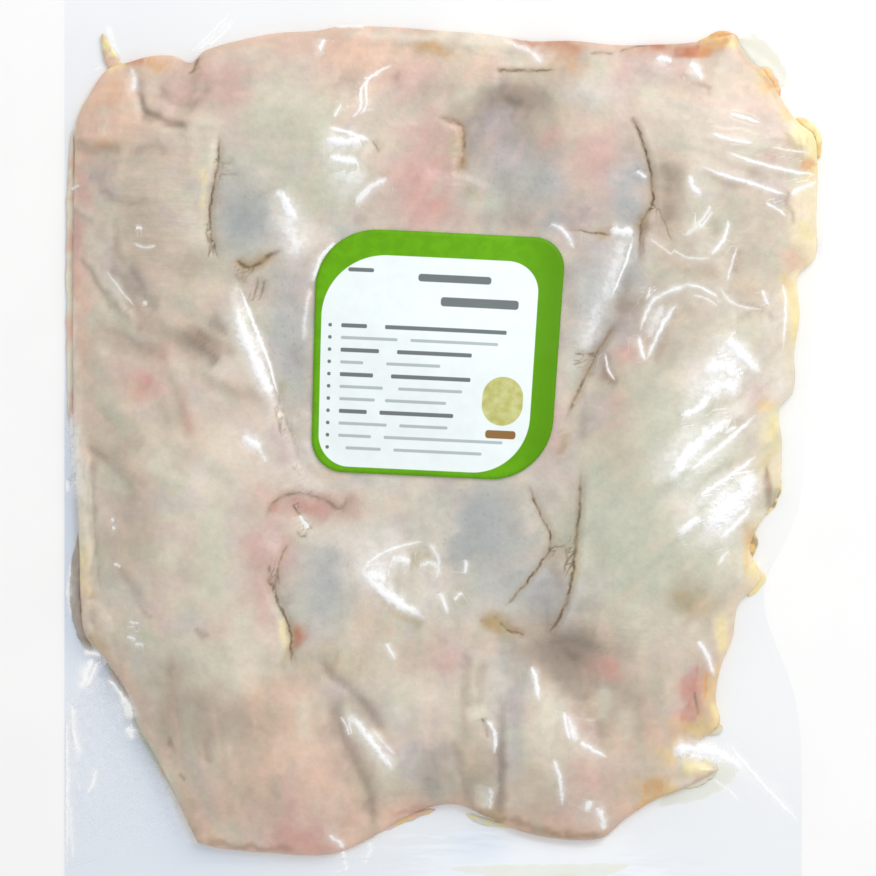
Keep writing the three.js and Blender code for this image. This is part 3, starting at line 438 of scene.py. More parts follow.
        (3, 0.4, (-141, -26), (-129, -38), (-120, -50)), (4, 0.3, (-112, -8), (-104, -20)), (2, 0.4, (-121, 42), (-119, 30)),
        (6, 0.45, (41, 126), (48, 122)), (6, 0.35, (14, 102), (24, 98)), (5, 0.5, (71, 30), (69, 18)),
        (6, 0.5, (53, -124), (61, -129)), (5, 0.3, (54, -86), (60, -92)), (6, 0.3, (-42, 117), (-32, 112)),
        (6, 0.35, (-70, -130), (-74, -138)), (4, 0.3, (113, -16), (117, -21)), (5, 0.3, (-100, 50), (-100, 38)),
        (1.6, 0.3, (-144, 47), (-138, 40), (-131, 31), (-122, 20)), (2, 0.5, (-124, 44), (-118, 36), (-113, 24)),
        (2.2, 0.5, (-120, 108), (-117, 102), (-109, 99), (-101, 97.5)), (2, 0.45, (-102, 108), (-98, 112), (-97, 120)),
        (3, 0.3, (-112, 18), (-106, 15)), (2, 0.4, (106, 62), (104, 56)), (2, 0.3, (120, 24), (112, 22)),
        (8, 0.5, (46, -100), (58, -104)), (3, 0.4, (58, -118), (62, -134)), (2.5, 0.4, (9, -108), (7, -124), (8, -142)),
        (5, 0.3, (113, 42), (113, 30)), (4, 0.35, (62, 9), (62, -2)),
        (2, 0.5, (71, 22), (69, 12)), (4, 0.45, (58, -122), (58, -134)),
    ],
    "brown": [
        (1.4, 0.85, (76, 60), (76.6, 57)), (0.9, 0.7, (76.8, 56), (75.6, 45)), (1.4, 0.6, (72, 99.5), (74, 99)),
        (1, 0.7, (-144.2, -80), (-143.6, -94)), (1.3, 0.6, (125, -39), (126.4, -52)), (1.4, 0.8, (64, 1), (66.5, -3)),
        (1.8, 0.6, (25, -173.5), (35, -177), (46, -180)), (1.8, 0.55, (46, -180), (61, -180.5)), (1.2, 0.6, (22.5, -97), (30, -101)),
        (1.5, 0.5, (-95, -182.5), (-75, -184.5), (-60, -185)), (1.2, 0.6, (55, 4), (57, -1)), (1.4, 0.5, (-108, -143), (-107, -146)),
        (2.2, 0.3, (-145, 90.5), (-138, 88.5), (-127, 88.5)), (1.2, 0.7, (125.5, -34), (126, -44), (126.4, -50)),
        (1, 0.6, (121, -60), (122, -66)), (0.8, 0.6, (-98, 125), (-97.6, 120.5)), (0.9, 0.8, (141, 93.6), (141.2, 93)),
        (1.6, 0.5, (-97, -98), (-93, -101)),
        (0.7, 0.7, (13, -94), (18, -96), (20, -99)), (0.7, 0.7, (20, -96), (20, -92)), (0.7, 0.6, (25, -100), (30, -102)),
        (2, 0.6, (13, -171), (18, -173), (24, -174)), (1.5, 0.5, (14, -134), (16, -139)), (1, 0.7, (64, 9), (62.5, 2), (66, -4)),
        (0.8, 0.6, (-78, 42), (-80, 38)), (1, 0.5, (-107, -142), (-106, -146)), (1, 0.5, (-104, -156), (-101, -158)),
        (0.9, 0.6, (4.6, 97), (5.6, 88), (4.6, 80)),
        (2, 0.35, (4, 80), (9, 80)),
    ],
    "ochre": [
        (2, 0.85, (-81, 45), (-78, 43), (-73, 44), (-66, 48)), (1.6, 0.5, (4.6, 98), (5, 88), (5, 80)), (3, 0.6, (-12, 129.5), (-3, 128), (2, 126)),
        (1.6, 0.7, (134.5, 95), (135, 91)), (1.5, 0.7, (-27, -84), (-18, -92), (-9, -97.5)), (3, 0.5, (-44, -110), (-34, -114)),
        (2.2, 0.75, (16, -96), (24, -98)), (1.4, 0.8, (17, -172), (24, -172.5)), (1.4, 0.5, (-64, -2), (-62, -7)),
        (3, 0.5, (90, -84), (96, -90)), (2, 0.5, (60, 58), (62, 53)), (2.5, 0.5, (-14, -71), (-6, -70)), (1.4, 0.6, (129, -44), (129, -49)),
        (3, 0.5, (-141, -102), (-134, -108)), (1.2, 0.6, (46, -21), (44, -31)), (2.2, 0.7, (121, -58), (122, -64)),
        (2.5, 0.4, (13, 69), (9, 74)),
        (2.5, 0.8, (14, -95), (20, -97), (26, -101)), (3, 0.4, (-76, 46), (-72, 44)),
        (3.5, 0.35, (-110, -176), (-98, -180)), (3.5, 0.4, (-30, -182), (-16, -179)),
    ],
    "lemon": [
        (2.2, 0.85, (136, 36), (136.5, 14)), (2, 0.85, (144.5, 99), (145, 88), (145.5, 78)), (2.4, 0.7, (107, -94), (108, -108)),
        (2, 0.8, (128, -12), (129, -30)), (1.2, 0.65, (-64, -94), (-62.4, -105)), (1.2, 0.5, (-93.8, 82), (-94.2, 65)),
        (3, 0.8, (138, 98), (141, 92)), (1.2, 0.5, (50, -60), (50.4, -80)), (3, 0.8, (92, -152.5), (104, -154.5)),
        (2, 0.8, (122, -72), (121, -80)), (2, 0.7, (105, -128), (107, -138)), (2, 0.7, (110, 131), (114, 130)), (2, 0.6, (139, 62), (143, 54)),
        (2, 0.6, (-133, 121.5), (-125, 122.5)), (1, 0.8, (-143.6, -62), (-143.2, -82)),
        (4, 0.4, (123, -56), (122, -68)),
    ],
    "amber": [
        (1.8, 0.7, (122, -12), (129, -10)), (1.4, 0.8, (118.5, -62), (118, -76)), (2.2, 0.75, (94, -138.5), (107, -139.5)),
        (3, 0.6, (82, -146), (90, -150)), (2, 0.7, (75, -168), (92, -161)), (2.2, 0.6, (103, 131), (110, 132)), (2.4, 0.8, (122, 120), (128, 113)),
        (1.8, 0.6, (132, 106), (135, 100)), (2, 0.7, (141, 80), (144, 79)), (1.4, 0.5, (-141, -64), (-140.6, -86)),
        (1.6, 0.5, (126, -30), (124, -34)), (2, 0.5, (131, 40), (134, 36)),
        (3, 0.4, (88, -144), (94, -144)),
    ],
    "orange": [
        (2.2, 0.85, (100, 130.5), (105, 131), (111, 133)), (2.2, 0.8, (124.5, 118), (128, 112.5)), (2.6, 0.8, (140.5, 85), (143, 81.5)),
        (3, 0.7, (76, -161), (86, -161)), (1.2, 0.8, (102, -115), (101.5, -126)), (2, 0.6, (50, 126), (50, 121)),
        (5, 0.2, (-128, 117), (-134, 105)), (3.5, 0.7, (-117, 124), (-111, 121)), (2, 0.5, (-130, 92), (-138, 91)),
        (2, 0.6, (104, 130), (98, 126)), (2, 0.6, (118, -58), (120, -64)), (2, 0.55, (74, -170), (84, -164)),
        (1.8, 0.45, (-10, 131), (-4, 129), (2, 126)), (4, 0.45, (43, 127), (48, 125)), (2, 0.3, (50, 121), (51, 118)),
    ],
    "rust": [
        (1.5, 0.75, (80, 130), (89, 130)), (2, 0.95, (90, 128.4), (99, 127.8)), (4, 0.9, (42, 129), (47, 127)), (1.2, 0.7, (27, 132.5), (31, 131), (35, 129.6)),
        (1.8, 0.7, (-59, -98), (-56, -102)), (1.4, 0.6, (-118, 123.4), (-126, 123.2)),
        (1.1, 0.45, (3, 99), (5.4, 97), (6.2, 88), (5, 79)), (0.8, 0.35, (-2, 100.4), (3, 99.6)),
        (0.7, 0.6, (99, -112), (97, -122), (95, -130)),
        (4, 0.5, (41, 132), (46, 123)), (3, 0.3, (80, 131), (97, 131)),
    ],
    "red": [
        (3, 0.75, (98, -116), (96, -128)), (2.6, 0.85, (92, -132.5), (98, -133)), (2.5, 0.5, (60, -112), (68, -115)),
        (2.6, 0.6, (-119, -2), (-117, -5)), (1.2, 0.6, (-22, -171.5), (-10, -169.6), (-2, -168.6)), (1.2, 0.6, (-69, -53), (-66, -49)),
        (2, 0.5, (-56, -53), (-50, -50)), (1, 0.5, (53, 1), (55, 5)),
        (4, 0.55, (-121, -2), (-115, -4)), (2.5, 0.4, (-104, -2), (-101, -14), (-99, -22)), (5, 0.35, (-8, 70), (0, 64)),
        (3, 0.35, (-6, 84), (2, 86)), (1.5, 0.5, (59, -111), (67, -112)), (1.2, 0.5, (61, -117), (69, -117)),
        (4, 0.4, (-57, -48), (-46, -55)),
    ],
    "lilac": [
        (6, 0.6, (-15, -142), (-12, -158)), (5, 0.5, (-45, -118), (-38, -124)), (5, 0.5, (26, -122), (26, -136)),
        (7, 0.6, (14, 98), (26, 100)), (6, 0.5, (18, 88), (30, 84)), (6, 0.45, (-66, -18), (-60, -34)),
        (5, 0.5, (72, 24), (68, 12)), (5, 0.45, (62, -6), (58, -20)), (5, 0.5, (-50, 44), (-56, 34)),
        (4, 0.4, (42, 62), (50, 50)),
    ],
    "cream": [
        (3, 0.6, (-40, -128), (-33, -140), (-27, -150)), (3, 0.6, (12, -128), (14, -133)), (2, 0.6, (14, -160), (17, -168)),
        (5, 0.5, (38, -128), (37, -142)), (5, 0.5, (-42, -110), (-34, -113)), (6, 0.4, (-24, -120), (-18, -130)),
        (4, 0.5, (42, -126), (44, -134)), (3, 0.5, (62, -122), (61, -134)), (3, 0.4, (70, -130), (70, -142)),
        (3, 0.5, (-56, -126), (-55, -140)), (5, 0.4, (-98, 64), (-98, 46)), (4, 0.5, (5, 130), (20, 129), (33, 124)),
        (3, 0.7, (-146, -14), (-144, -36), (-142, -52), (-140.5, -68)),
    ],
    "tan": [
        (6, 0.5, (10, -142), (12, -156)), (5, 0.5, (-36, -152), (-30, -166)), (5, 0.4, (35, -150), (36, -168)),
        (6, 0.5, (-36, -95), (-20, -100)), (4, 0.4, (100, -68), (96, -76)), (4, 0.4, (78, -144), (80, -152)),
        (6, 0.5, (40, 125), (46, 121)), (6, 0.5, (112, 40), (120, 34)), (6, 0.4, (-66, -126), (-72, -136)),
        (6, 0.45, (54, -126), (58, -134)), (6, 0.4, (-116, 88), (-110, 82)),
        (4, 0.5, (-96, 132), (-86, 132)), (5, 0.45, (8, 122), (16, 121)), (5, 0.5, (40, 128), (50, 122)),
        (5, 0.45, (86, 131), (95, 131)), (6, 0.45, (108, 118), (118, 113)),
    ],
    "olive": [
        (8, 0.5, (88, -20), (104, -12)), (8, 0.5, (92, -36), (108, -28)), (8, 0.5, (96, -50), (114, -42)), (6, 0.4, (92, -66), (106, -70)),
        (1.6, 0.7, (-136, -110), (-126, -125), (-119, -140), (-112, -152), (-104, -166)), (5, 0.4, (0, -82), (8, -86)),
        (4, 0.35, (104, 0), (112, -2)),
        (11, 0.55, (84, -4), (80, -30)), (11, 0.55, (100, -20), (94, -46)), (9, 0.5, (108, -68), (94, -72)),
        (4, 0.6, (9, 68), (24, 66)), (4, 0.4, (-136, -4), (-124, -24)), (5, 0.35, (-134, -34), (-124, -48)),
    ],
    "cool": [
        (5, 0.55, (72, 84), (73, 66)), (4, 0.4, (66, 80), (66, 64)),
    ],
    "thin": [
        (6, 0.7, (36, 62), (44, 58)), (5, 0.65, (72, 50), (70, 40)), (5, 0.4, (56, -86), (58, -90)),
        (8, 0.55, (-46, -66), (-46, -84)), (6, 0.5, (10, -52), (14, -64)), (5, 0.4, (30, -76), (28, -88)),
    ],
    "line": [
        (3, 0.4, (-97.5, 16), (-93, 12)), (1.6, 0.35, (22, 109), (30, 106)), (1.5, 0.35, (46, -106), (52, -112)),
    ],
}

# Ribs and puckers that the vacuum leaves in the film, each whitened along its length by a painted glint: half width,
# strength, places.
RIBS = [
    # above the label on the left
    (0.8, 0.9, (-46, 97), (-37.5, 94.5), (-29, 91.5)),
    (2, 0.95, (-47, 92), (-39.5, 91), (-32, 92)),
    (1.5, 0.95, (-46, 85.5), (-39.5, 84), (-33, 83.5)),
    (0.6, 0.7, (-40, 106.5), (-42, 103.5), (-44, 100)),
    (0.6, 0.6, (-20.5, 122), (-29.5, 117.5), (-33.5, 114.5)),
    (1.5, 1, (-35.5, 66.5), (-31, 72), (-22.5, 77.5)),
    (3.5, 0.28, (-46, 80), (-37.5, 78.5), (-29, 77.5)),
    # left of the label
    (2.5, 0.8, (-66, 73.5), (-63, 68), (-58, 59.5)),
    (4, 0.35, (-63.5, 63.5), (-60, 55.5), (-58, 45)),
    (1, 0.85, (-42.5, 53), (-48.5, 46.5), (-52.5, 35.5)),
    (1, 0.45, (-52.5, 35.5), (-54.5, 26), (-55.5, 12.5)),
    (0.7, 1, (-80.5, 35.5), (-76, 23), (-69.5, 6.5), (-65, -9)),
    (2.6, 0.9, (-83, 29), (-78, 14), (-72.5, 2), (-66.5, -9.5)),
    (2, 0.85, (-80, -23.5), (-76, -25), (-71.5, -29.5)),
    (1, 0.5, (-73.5, -28), (-71, -31), (-70.5, -34)),
    # right of the label
    (2, 0.85, (63.5, 57.5), (68, 56.5), (73.5, 55.5)),
    (3.4, 0.4, (69, 55), (66, 43), (61, 28)),
    (0.6, 0.85, (73, 54), (69.5, 43), (63.5, 29)),
    (3, 0.3, (60, 30), (57, 18), (52.5, 9.5)),
    (0.9, 0.8, (74, 80.5), (76, 78.5), (78.5, 77)),
    # on the right lobe
    (0.9, 0.9, (95.5, 35.5), (86.5, 33), (79.5, 28), (75, 16)),
    (0.9, 0.95, (75, 16), (76, 10.5), (77.5, 5.5)),
    (0.9, 0.85, (77.5, 5.5), (81, 13), (85, 21.5), (90, 28.5)),
    (2.5, 0.35, (79, 14.5), (80.5, 20), (85, 28.5)),
    (0.6, 0.6, (79.5, 36), (78.5, 30), (77, 21.5)),
    (0.7, 0.85, (92, 36), (99, 34), (106, 30.5)),
    (0.5, 0.5, (95.5, 31.5), (101, 30), (105.5, 27)),
    # fan on the upper right
    (0.7, 0.9, (110, 102), (115.5, 101), (123.5, 98.5)),
    (0.6, 0.75, (102.5, 94.5), (110, 92), (120.5, 90.5)),
    (0.7, 0.8, (108, 87.5), (119.5, 83.5), (137, 80), (145.5, 79.5)),
    (0.8, 0.85, (98, 82), (108, 78), (119, 75), (127, 72.5), (134, 71)),
    (0.8, 0.75, (134, 71), (139, 73.5), (146, 77)),
    (0.6, 0.6, (124, 68), (129, 65.5), (133, 62.5)),
    (1.3, 0.9, (94, 78.5), (96, 73.5), (99.5, 70)),
    (0.8, 0.6, (97, 58), (101, 63), (103, 67)),
    (0.5, 0.45, (126.5, 89.5), (134.5, 88.5), (143, 87.5)),
    # below the fan
    (0.8, 0.75, (110, 62), (108, 53.5), (102.5, 46.5)),
    (0.6, 0.55, (104, 64.5), (101, 60.5), (97.5, 56.5)),
    (0.6, 0.5, (113.5, 50.5), (111, 44), (109, 36)),
    (0.5, 0.4, (86.5, 50.5), (94, 46), (103, 46)),
    # cluster on the right flap
    (3, 0.55, (99, 1), (108, 4), (116.5, -3.5)),
    (3.5, 0.6, (100, -8.5), (107, -3.5), (115.5, -6)),
    (2.5, 0.85, (108.5, 15), (113.5, 9.5), (123.5, 1)),
    (2.6, 0.85, (86.5, -41), (93, -31), (101.5, -22.5), (113, -16)),
    (0.9, 0.9, (94, -37), (108, -26.5), (121.5, -14.5)),
    (2, 0.75, (90, -16), (97, -13), (104, -6)),
    (0.9, 0.8, (96, -48), (110, -39), (122, -30.5)),
    (0.9, 0.6, (101, -24), (109, -21.5), (114, -19)),
    (4.6, 0.9, (97, -61), (108, -53), (116, -45), (121, -36)),
    (1.2, 0.7, (106, -64), (114, -57), (120, -50)),
    (2.2, 0.75, (89, -62), (94, -58), (100, -54)),
    (2.5, 0.4, (86.5, -39.5), (91.5, -38), (95.5, -35.5)),
    (0.8, 0.5, (105.5, -74), (108.5, -70), (111, -67)),
    (2.5, 0.4, (95.5, -17), (101.5, -12.5), (105.5, -7.5)),
    (1, 0.5, (113.5, 18), (111, 16), (109.5, 12.5)),
    # below the label
    (2, 0.9, (-33, -74), (-28, -81), (-19.5, -87.5), (-7, -94.5)),
    (2.5, 0.6, (-32, -76.5), (-27.5, -78), (-22.5, -79.5)),
    (0.6, 0.6, (-33, -75), (-23.5, -68), (-8, -64)),
    (1.5, 0.6, (-22.5, -71.5), (-18, -71), (-13.5, -73)),
    (1, 0.45, (-11.5, -74), (-6, -72.5), (-2.5, -75.5)),
    (1, 0.7, (-2.5, -83.5), (-1, -87.5), (1, -93)),
    (1, 0.95, (-23.5, -103), (-21.5, -107), (-19.5, -110.5)),
    (0.9, 0.6, (7, -71), (8, -74), (6.5, -78)),
    (0.8, 0.6, (2.5, -87.5), (4.5, -85.5), (7, -84)),
    (1, 0.4, (-7, -64), (-3, -71.5), (-4, -79.5)),
    # lower middle
    (1.5, 0.9, (-36.5, -132.5), (-29.5, -142), (-19.5, -154.5)),
    (0.9, 0.4, (-29, -136.5), (-24, -143), (-19.5, -147.5)),
    (1, 0.85, (33.5, -112.5), (35, -118.5), (36.5, -127)),
    (0.9, 0.9, (46, -129.5), (46.5, -135), (48.5, -142)),
    (1, 0.85, (51.5, -142), (56, -144.5), (63, -148.5)),
    (1, 0.85, (41.5, -148), (44, -156), (45.5, -168)),
    (0.9, 0.8, (15.5, -133.5), (19, -139), (18.5, -147.5)),
    (1.5, 0.8, (56, -164.5), (55.5, -168), (54, -170.5)),
    (1.5, 0.75, (58.5, -168), (61, -172.5), (62.5, -178.5)),
    (1, 0.9, (98, -103), (101.5, -107.5), (105.5, -118)),
    (0.6, 0.5, (-41.5, -132), (-39, -135.5), (-37.5, -141)),
    (0.7, 0.6, (131.5, 37), (133, 28), (132, 10)),
    (1.1, 0.6, (123, 34), (124.5, 31), (125.5, 27)),
    (0.6, 0.45, (106, 34.5), (112, 28), (124, 26)),
    (0.5, 0.4, (79, 54), (84, 50), (89, 46.5)),
    (1, 0.45, (100, 63), (97, 58), (92, 54)),
    (0.6, 0.5, (-122, 52), (-117, 50), (-112, 51)),
    (0.5, 0.5, (-133, 42), (-127, 34), (-121, 27)),
    (2.6, 0.35, (-147, -12), (-145.5, -30), (-143.5, -52)),
    # round the edge
    (1, 0.85, (-46.5, -179.5), (-42, -182), (-40, -185.5)),
    (1, 0.8, (-40.5, -185.5), (-40, -189.5), (-39, -194.5)),
    (1, 0.6, (-29.5, -182), (-30.5, -187.5), (-33, -192)),
    (1, 0.9, (-133.5, -118.5), (-129.5, -122.5), (-126, -128), (-122.5, -135.5)),
    (2.2, 0.9, (-127.5, -125), (-125, -130), (-123.5, -135)),
    (1.6, 0.9, (-125, -137), (-124, -140), (-123.5, -143)),
    (2, 0.6, (-122, -137), (-123, -139), (-124.5, -142)),
    (1.3, 0.9, (-143, -109), (-139, -108.5), (-135, -110)),
    (1.6, 0.95, (-139, -110), (-141.5, -116), (-144.5, -124)),
    (0.8, 0.8, (-137, -111), (-138.5, -116), (-142, -123)),
    (1.3, 1, (-147, -128), (-146.8, -138), (-143.5, -151.5)),
    (0.9, 0.8, (-137.5, -153.5), (-138.5, -158.5), (-141, -164.5)),
    (0.8, 0.6, (-147, -165.5), (-147.5, -177), (-146, -192)),
    (0.7, 0.7, (-147.5, -71.5), (-148.5, -83.5), (-147.5, -95)),
    (0.8, 0.8, (-50, 127), (-48.5, 130), (-47.5, 133)),
    (1.5, 0.85, (94.5, 122), (97.5, 120.5), (99.5, 115)),
    (1.5, 0.6, (81.5, 124.5), (85, 124.5), (88.5, 123)),
    (1.4, 0.45, (22, 132), (33, 127.5), (37.5, 122)),
    (0.6, 0.5, (-44, 137.5), (-37.5, 137.5), (-31, 137.5)),
    (0.6, 0.75, (-94, 129), (-89, 134), (-83, 139.5)),
    (0.9, 0.85, (139.5, -175.5), (126.5, -162.5), (110, -143)),
    (0.6, 0.5, (117, -168), (110, -161.5), (104, -157.5)),
    (3.2, 1, (88, -146.5), (97, -146.2), (109, -147.5)),
    (1.6, 0.9, (104, -147), (111, -150), (118, -156)),
    (1.2, 0.8, (-149, -40), (-149, -43), (-148.6, -46)),
    (1.2, 0.8, (-148.6, -81), (-148.6, -84), (-148.4, -87)),
    (1, 0.7, (-149.2, -126), (-149, -150), (-149, -196)),
    (0.9, 0.6, (-99, 127), (-92, 133), (-82, 142)),
    (0.5, 0.8, (-101, 127), (-93.5, 134), (-84, 144)),
    (1.4, 0.7, (-60, 184), (-20, 185), (30, 184)),
    (0.7, 0.7, (-22, 120), (-29, 117), (-33, 112), (-33.5, 104), (-38, 100)),
    (0.6, 0.6, (-25, 120), (-31, 115), (-31, 106), (-34, 101)),
    (0.9, 0.7, (40, 60), (46, 56.5), (50, 49)),
    (1, 0.9, (-57.5, -53.5), (-55, -57), (-53, -59.5)),
    (0.5, 0.7, (62, 10), (63, 3), (66, -2)),
    (2, 0.5, (-38, -131), (-33, -138), (-27, -146)),
    (1.2, 0.5, (17, -160), (17.5, -165), (17, -170)),
    (1.5, 0.6, (47, -131), (49, -137), (51, -142)),
    # small glints
    (0.8, 0.8, (-121, 57), (-119.5, 57.5), (-117.5, 57)),
    (0.7, 0.7, (-118.5, 28.5), (-117, 28.5), (-116.5, 27.5)),
    (0.7, 0.7, (-131, -55.5), (-130, -56), (-129, -56.5)),
    (0.7, 0.7, (-131, -59), (-130, -59), (-128.5, -59.5)),
    (0.7, 0.6, (-130, -73), (-128, -73.5), (-126.5, -75)),
    (0.8, 0.6, (-125, -101.5), (-122.5, -102), (-120.5, -103)),
    (0.8, 0.6, (-122, -104.5), (-119.5, -104.5), (-117, -105)),
    (0.5, 0.5, (-124, -95), (-122, -96), (-119, -96)),
    (0.6, 0.5, (-147, 73), (-145.5, 74.5), (-143, 75)),
    (0.6, 0.5, (-139, 120), (-136, 122), (-133.5, 123.5)),
    (1, 0.35, (-123.5, 121.5), (-122, 116.5), (-122, 111)),
]

# Neighbouring ribs are stored in turn in two layers, so that they may lie close together.
RIB_LAYERS = ("rib", "rib_too")

# Painted sheen on the film, whitish patches that stand in for soft reflections: middle x and y, half sizes, turn in
# degrees, strength.
SHEENS = [
    (-61, 57, 8, 13, 30, 0.6), (-40, 78, 7, 12, 0, 0.4), (-40, 90, 9, 7, 0, 0.6), (70, 47, 4, 12, -15, 0.25),
    (58, 26, 5, 15, -15, 0.35), (106, -3, 13, 12, 0, 1), (96, -29, 9, 17, -40, 0.95), (108, -52, 15, 12, 30, 1),
    (113, 8, 8, 5, -30, 0.6), (-25, -71, 14, 10, 10, 0.8), (-18, -86, 10, 5, -40, 0.7), (-74, 12, 3.2, 22, 20, 1),
    (112, 92, 14, 5, -10, 0.35), (122, 78, 18, 4, -15, 0.35), (84.5, 24, 4, 10, -20, 0.75), (-76, -26, 6, 4, -30, 0.4),
    (34, -120, 3, 8, 0, 0.35), (-30, -143, 3.5, 13, 40, 0.4), (54, -141, 6, 8, 30, 0.4), (44, -158, 3, 11, 0, 0.4),
    (58, -170, 5, 6, 0, 0.4), (-141, -117, 3.5, 6, 0, 0.6), (-148, -145, 2, 14, 0, 0.5), (-126, -132, 4, 9, 30, 0.5),
    (85, 122, 6, 4, 0, 0.35), (97, 119, 4, 5, 0, 0.4), (37, 127, 4, 5, 0, 0.4), (-49, 129, 3, 5, 0, 0.4),
    (-123, 114, 3, 6, 0, 0.35), (-134, 100, 6, 8, 0, 0.2), (104, 52, 8, 10, 0, 0.3), (131, -5, 5, 8, 0, 0.4), (-55, -26, 7, 10, 0, 0.85), (-54, -43, 6, 4, 0, 0.4), (-143.2, -40, 1.5, 14, 4, 0.12),
    (-24, -179, 8, 3, 20, 0.3), (98, 76, 4, 8, 0, 0.35),
    (100, -146, 10, 3, 0, 0.8), (125, -160, 16, 3, -40, 0.5), (-5, -85, 4, 9, 0, 0.35), (16, -138, 3, 7, 0, 0.35),
    (-68, -62, 5, 9, 0, 0.35), (64, 112, 8, 8, 0, 0.2), (128, 22, 4, 12, 0, 0.35), (-46, 52, 5, 7, 0, 0.4),
]

# Bits of fat and skin beside the duck: height, two tones, and places with a half width at each.
TRIMMINGS = [
    (1.5, "lemon", "peach", (-128.5, 120, 3), (-131.5, 125, 2.4), (-133.6, 130, 1.8), (-135, 135, 0.8)),
    (0.5, "pale", "lemon", (-137, 112, 1), (-141.5, 106.5, 1.6), (-145, 99, 1)),
    (1.1, "amber", "orange", (98, 130.5, 1), (104, 132, 2.6), (110, 133.4, 2.6), (115, 133, 1.2)),
    (0.8, "amber", "orange", (122, 121.5, 1.2), (126, 118, 3), (129.5, 113, 2), (131, 110, 1)),
    (0.8, "lemon", "amber", (137.5, 101.5, 1), (142, 99.5, 2), (146.2, 95, 1.4), (146.8, 86, 0.8)),
    (0.7, "lemon", "ochre", (129, -36, 1), (130, -42, 2), (128.5, -49, 1.6), (126, -54, 0.8)),
    (0.7, "amber", "ochre", (119, -60, 1), (120.5, -65, 2), (118.5, -72, 1.2)),
    (0.8, "lemon", "lemon", (122, -76, 1.4), (123.5, -80, 2), (119, -86, 1)),
    (0.8, "cream", "lemon", (91, -159, 3), (97, -157, 4.6), (102, -154.6, 4.2), (106.5, -153, 2.6)),
    (0.9, "cream", "amber", (103, -139.5, 1.5), (107, -139, 1.6), (108.6, -137, 0.8)),
    (0.5, "peach", "amber", (-38, -182, 0.6), (-26, -177.5, 1.6), (-14, -173, 1.6), (-4, -170.2, 0.6)),
    (0.35, "cream", "lemon", (8, -172, 0.5), (14, -174.6, 1.3), (20, -176, 1.1), (27, -177, 0.5)),
    (0.6, "tan", "taupe", (-143.6, -58, 0.6), (-145.4, -74, 1.6), (-145.6, -90, 2), (-142.6, -103, 1.6), (-139, -108, 0.8)),
    (0.4, "olive", "peach", (-133.5, -113, 0.5), (-126, -126, 0.9), (-119.5, -141, 0.8), (-112, -153.5, 0.9), (-104.5, -167, 0.8)),
    (1, "cream", "peach", (-147, -24, 0.8), (-147.3, 0, 1.7), (-147.5, 40, 1.8), (-147.4, 70, 1.7), (-147, 97, 0.8)),
]

# Pools of juice under the film: places with a half width at each.
POOLS = [
    ((104, 132.5, 1.5), (113, 129, 6), (121, 126.5, 7), (128, 122, 5), (133, 114, 2.5)),
    ((2, -193.4, 1), (20, -194.4, 2.5), (40, -194.8, 3), (60, -194, 2.5), (72, -192, 1)),
    ((84, -168.5, 1.5), (92, -164, 4), (102, -160, 5), (110, -155, 4), (113, -149, 2)),
]
POOL_HEIGHT = 0.4

# Label
LABEL_SIZE = 95
LABEL_MIDDLE = (-4, 8.5)
LABEL_TURN = math.radians(-2.7)
LABEL_TAPER = 0.024
LABEL_RADII = {"upper_left": 24, "upper_right": 12, "lower_right": 24, "lower_left": 12.5}
LABEL_REACH = 9
LABEL_RISE = 0.3
LABEL_PAPER = 0.15

# Meshes
DUCK_CELLS = (280, 310)
FILM_CELLS = (232, 256)
FILM_GAP = 0.4
FILM_UNDERSIDE = 0.12
LABEL_CELLS = 64


def linear(red, green, blue):
    """A colour from display values, 0 to 255, by the sRGB curve."""
    def curve(value):
        share = value / 255
        return share / 12.92 if share <= 0.04045 else ((share + 0.055) / 1.055) ** 2.4
    return (curve(red), curve(green), curve(blue), 1.0)


def shaded(colour, share):
    """A chosen colour made darker or lighter by a share, with full opacity."""
    return tuple(min(part * share, 1) for part in colour) + (1,)


# Shares of red, green and blue that every tone of the skin is brought down by.
TINT_BALANCE = (0.974, 0.969, 0.963)

# Tones of the skin, fat and meat. Some stand in for light: shade and the tones of grooves and crease lines are painted
# shade, lit is painted light, and mist is partly the skin's pale grey and partly a painted sheen.
TONES = {
    "skin": linear(215, 201, 183),
    "pale": linear(234, 225, 207),
    "cream": linear(228, 222, 202),
    "olive": linear(203, 206, 186),
    "tan": linear(206, 188, 164),
    "peach": linear(226, 190, 168),
    "blush": linear(212, 170, 162),
    "rose": linear(212, 190, 184),
    "lilac": linear(200, 188, 190),
    "thin": linear(172, 177, 177),
    "cool": linear(188, 190, 192),
    "shade": linear(150, 136, 122),
    "red": linear(206, 150, 138),
    "brown": linear(150, 122, 96),
    "ochre": linear(180, 156, 112),
    "amber": linear(234, 202, 134),
    "fat": linear(244, 230, 190),
    "mist": linear(212, 212, 204),
    "lit": linear(232, 221, 206),
    "taupe": linear(190, 172, 154),
    "haze": linear(166, 156, 156),
    "groove_shade": linear(162, 142, 128),
    "lemon": linear(242, 226, 164),
    "orange": linear(222, 164, 104),
    "rust": linear(192, 112, 74),
    "line": linear(96, 76, 58),
}


def smooth(t):
    """3t squared less 2t cubed, between 0 and 1."""
    t = np.clip(t, 0, 1)
    return t * t * (3 - 2 * t)


def line_through(places, t):
    """A cubic line through rising (t, value) places, with the slope at each from its neighbours."""
    knots = np.array(places, float)
    at, value = knots[:, 0], knots[:, 1]
    slope = np.gradient(value, at)
    slope[1:-1] = (value[2:] - value[:-2]) / (at[2:] - at[:-2])
    k = np.clip(np.searchsorted(at, t, side="right") - 1, 0, len(at) - 2)
    span = at[k + 1] - at[k]
    s = np.clip((t - at[k]) / span, 0, 1)
    rise = value[k] * (1 + 2 * s) * (1 - s) ** 2 + value[k + 1] * (3 - 2 * s) * s**2
    return rise + span * (slope[k] * s * (1 - s) ** 2 - slope[k + 1] * (1 - s) * s**2)


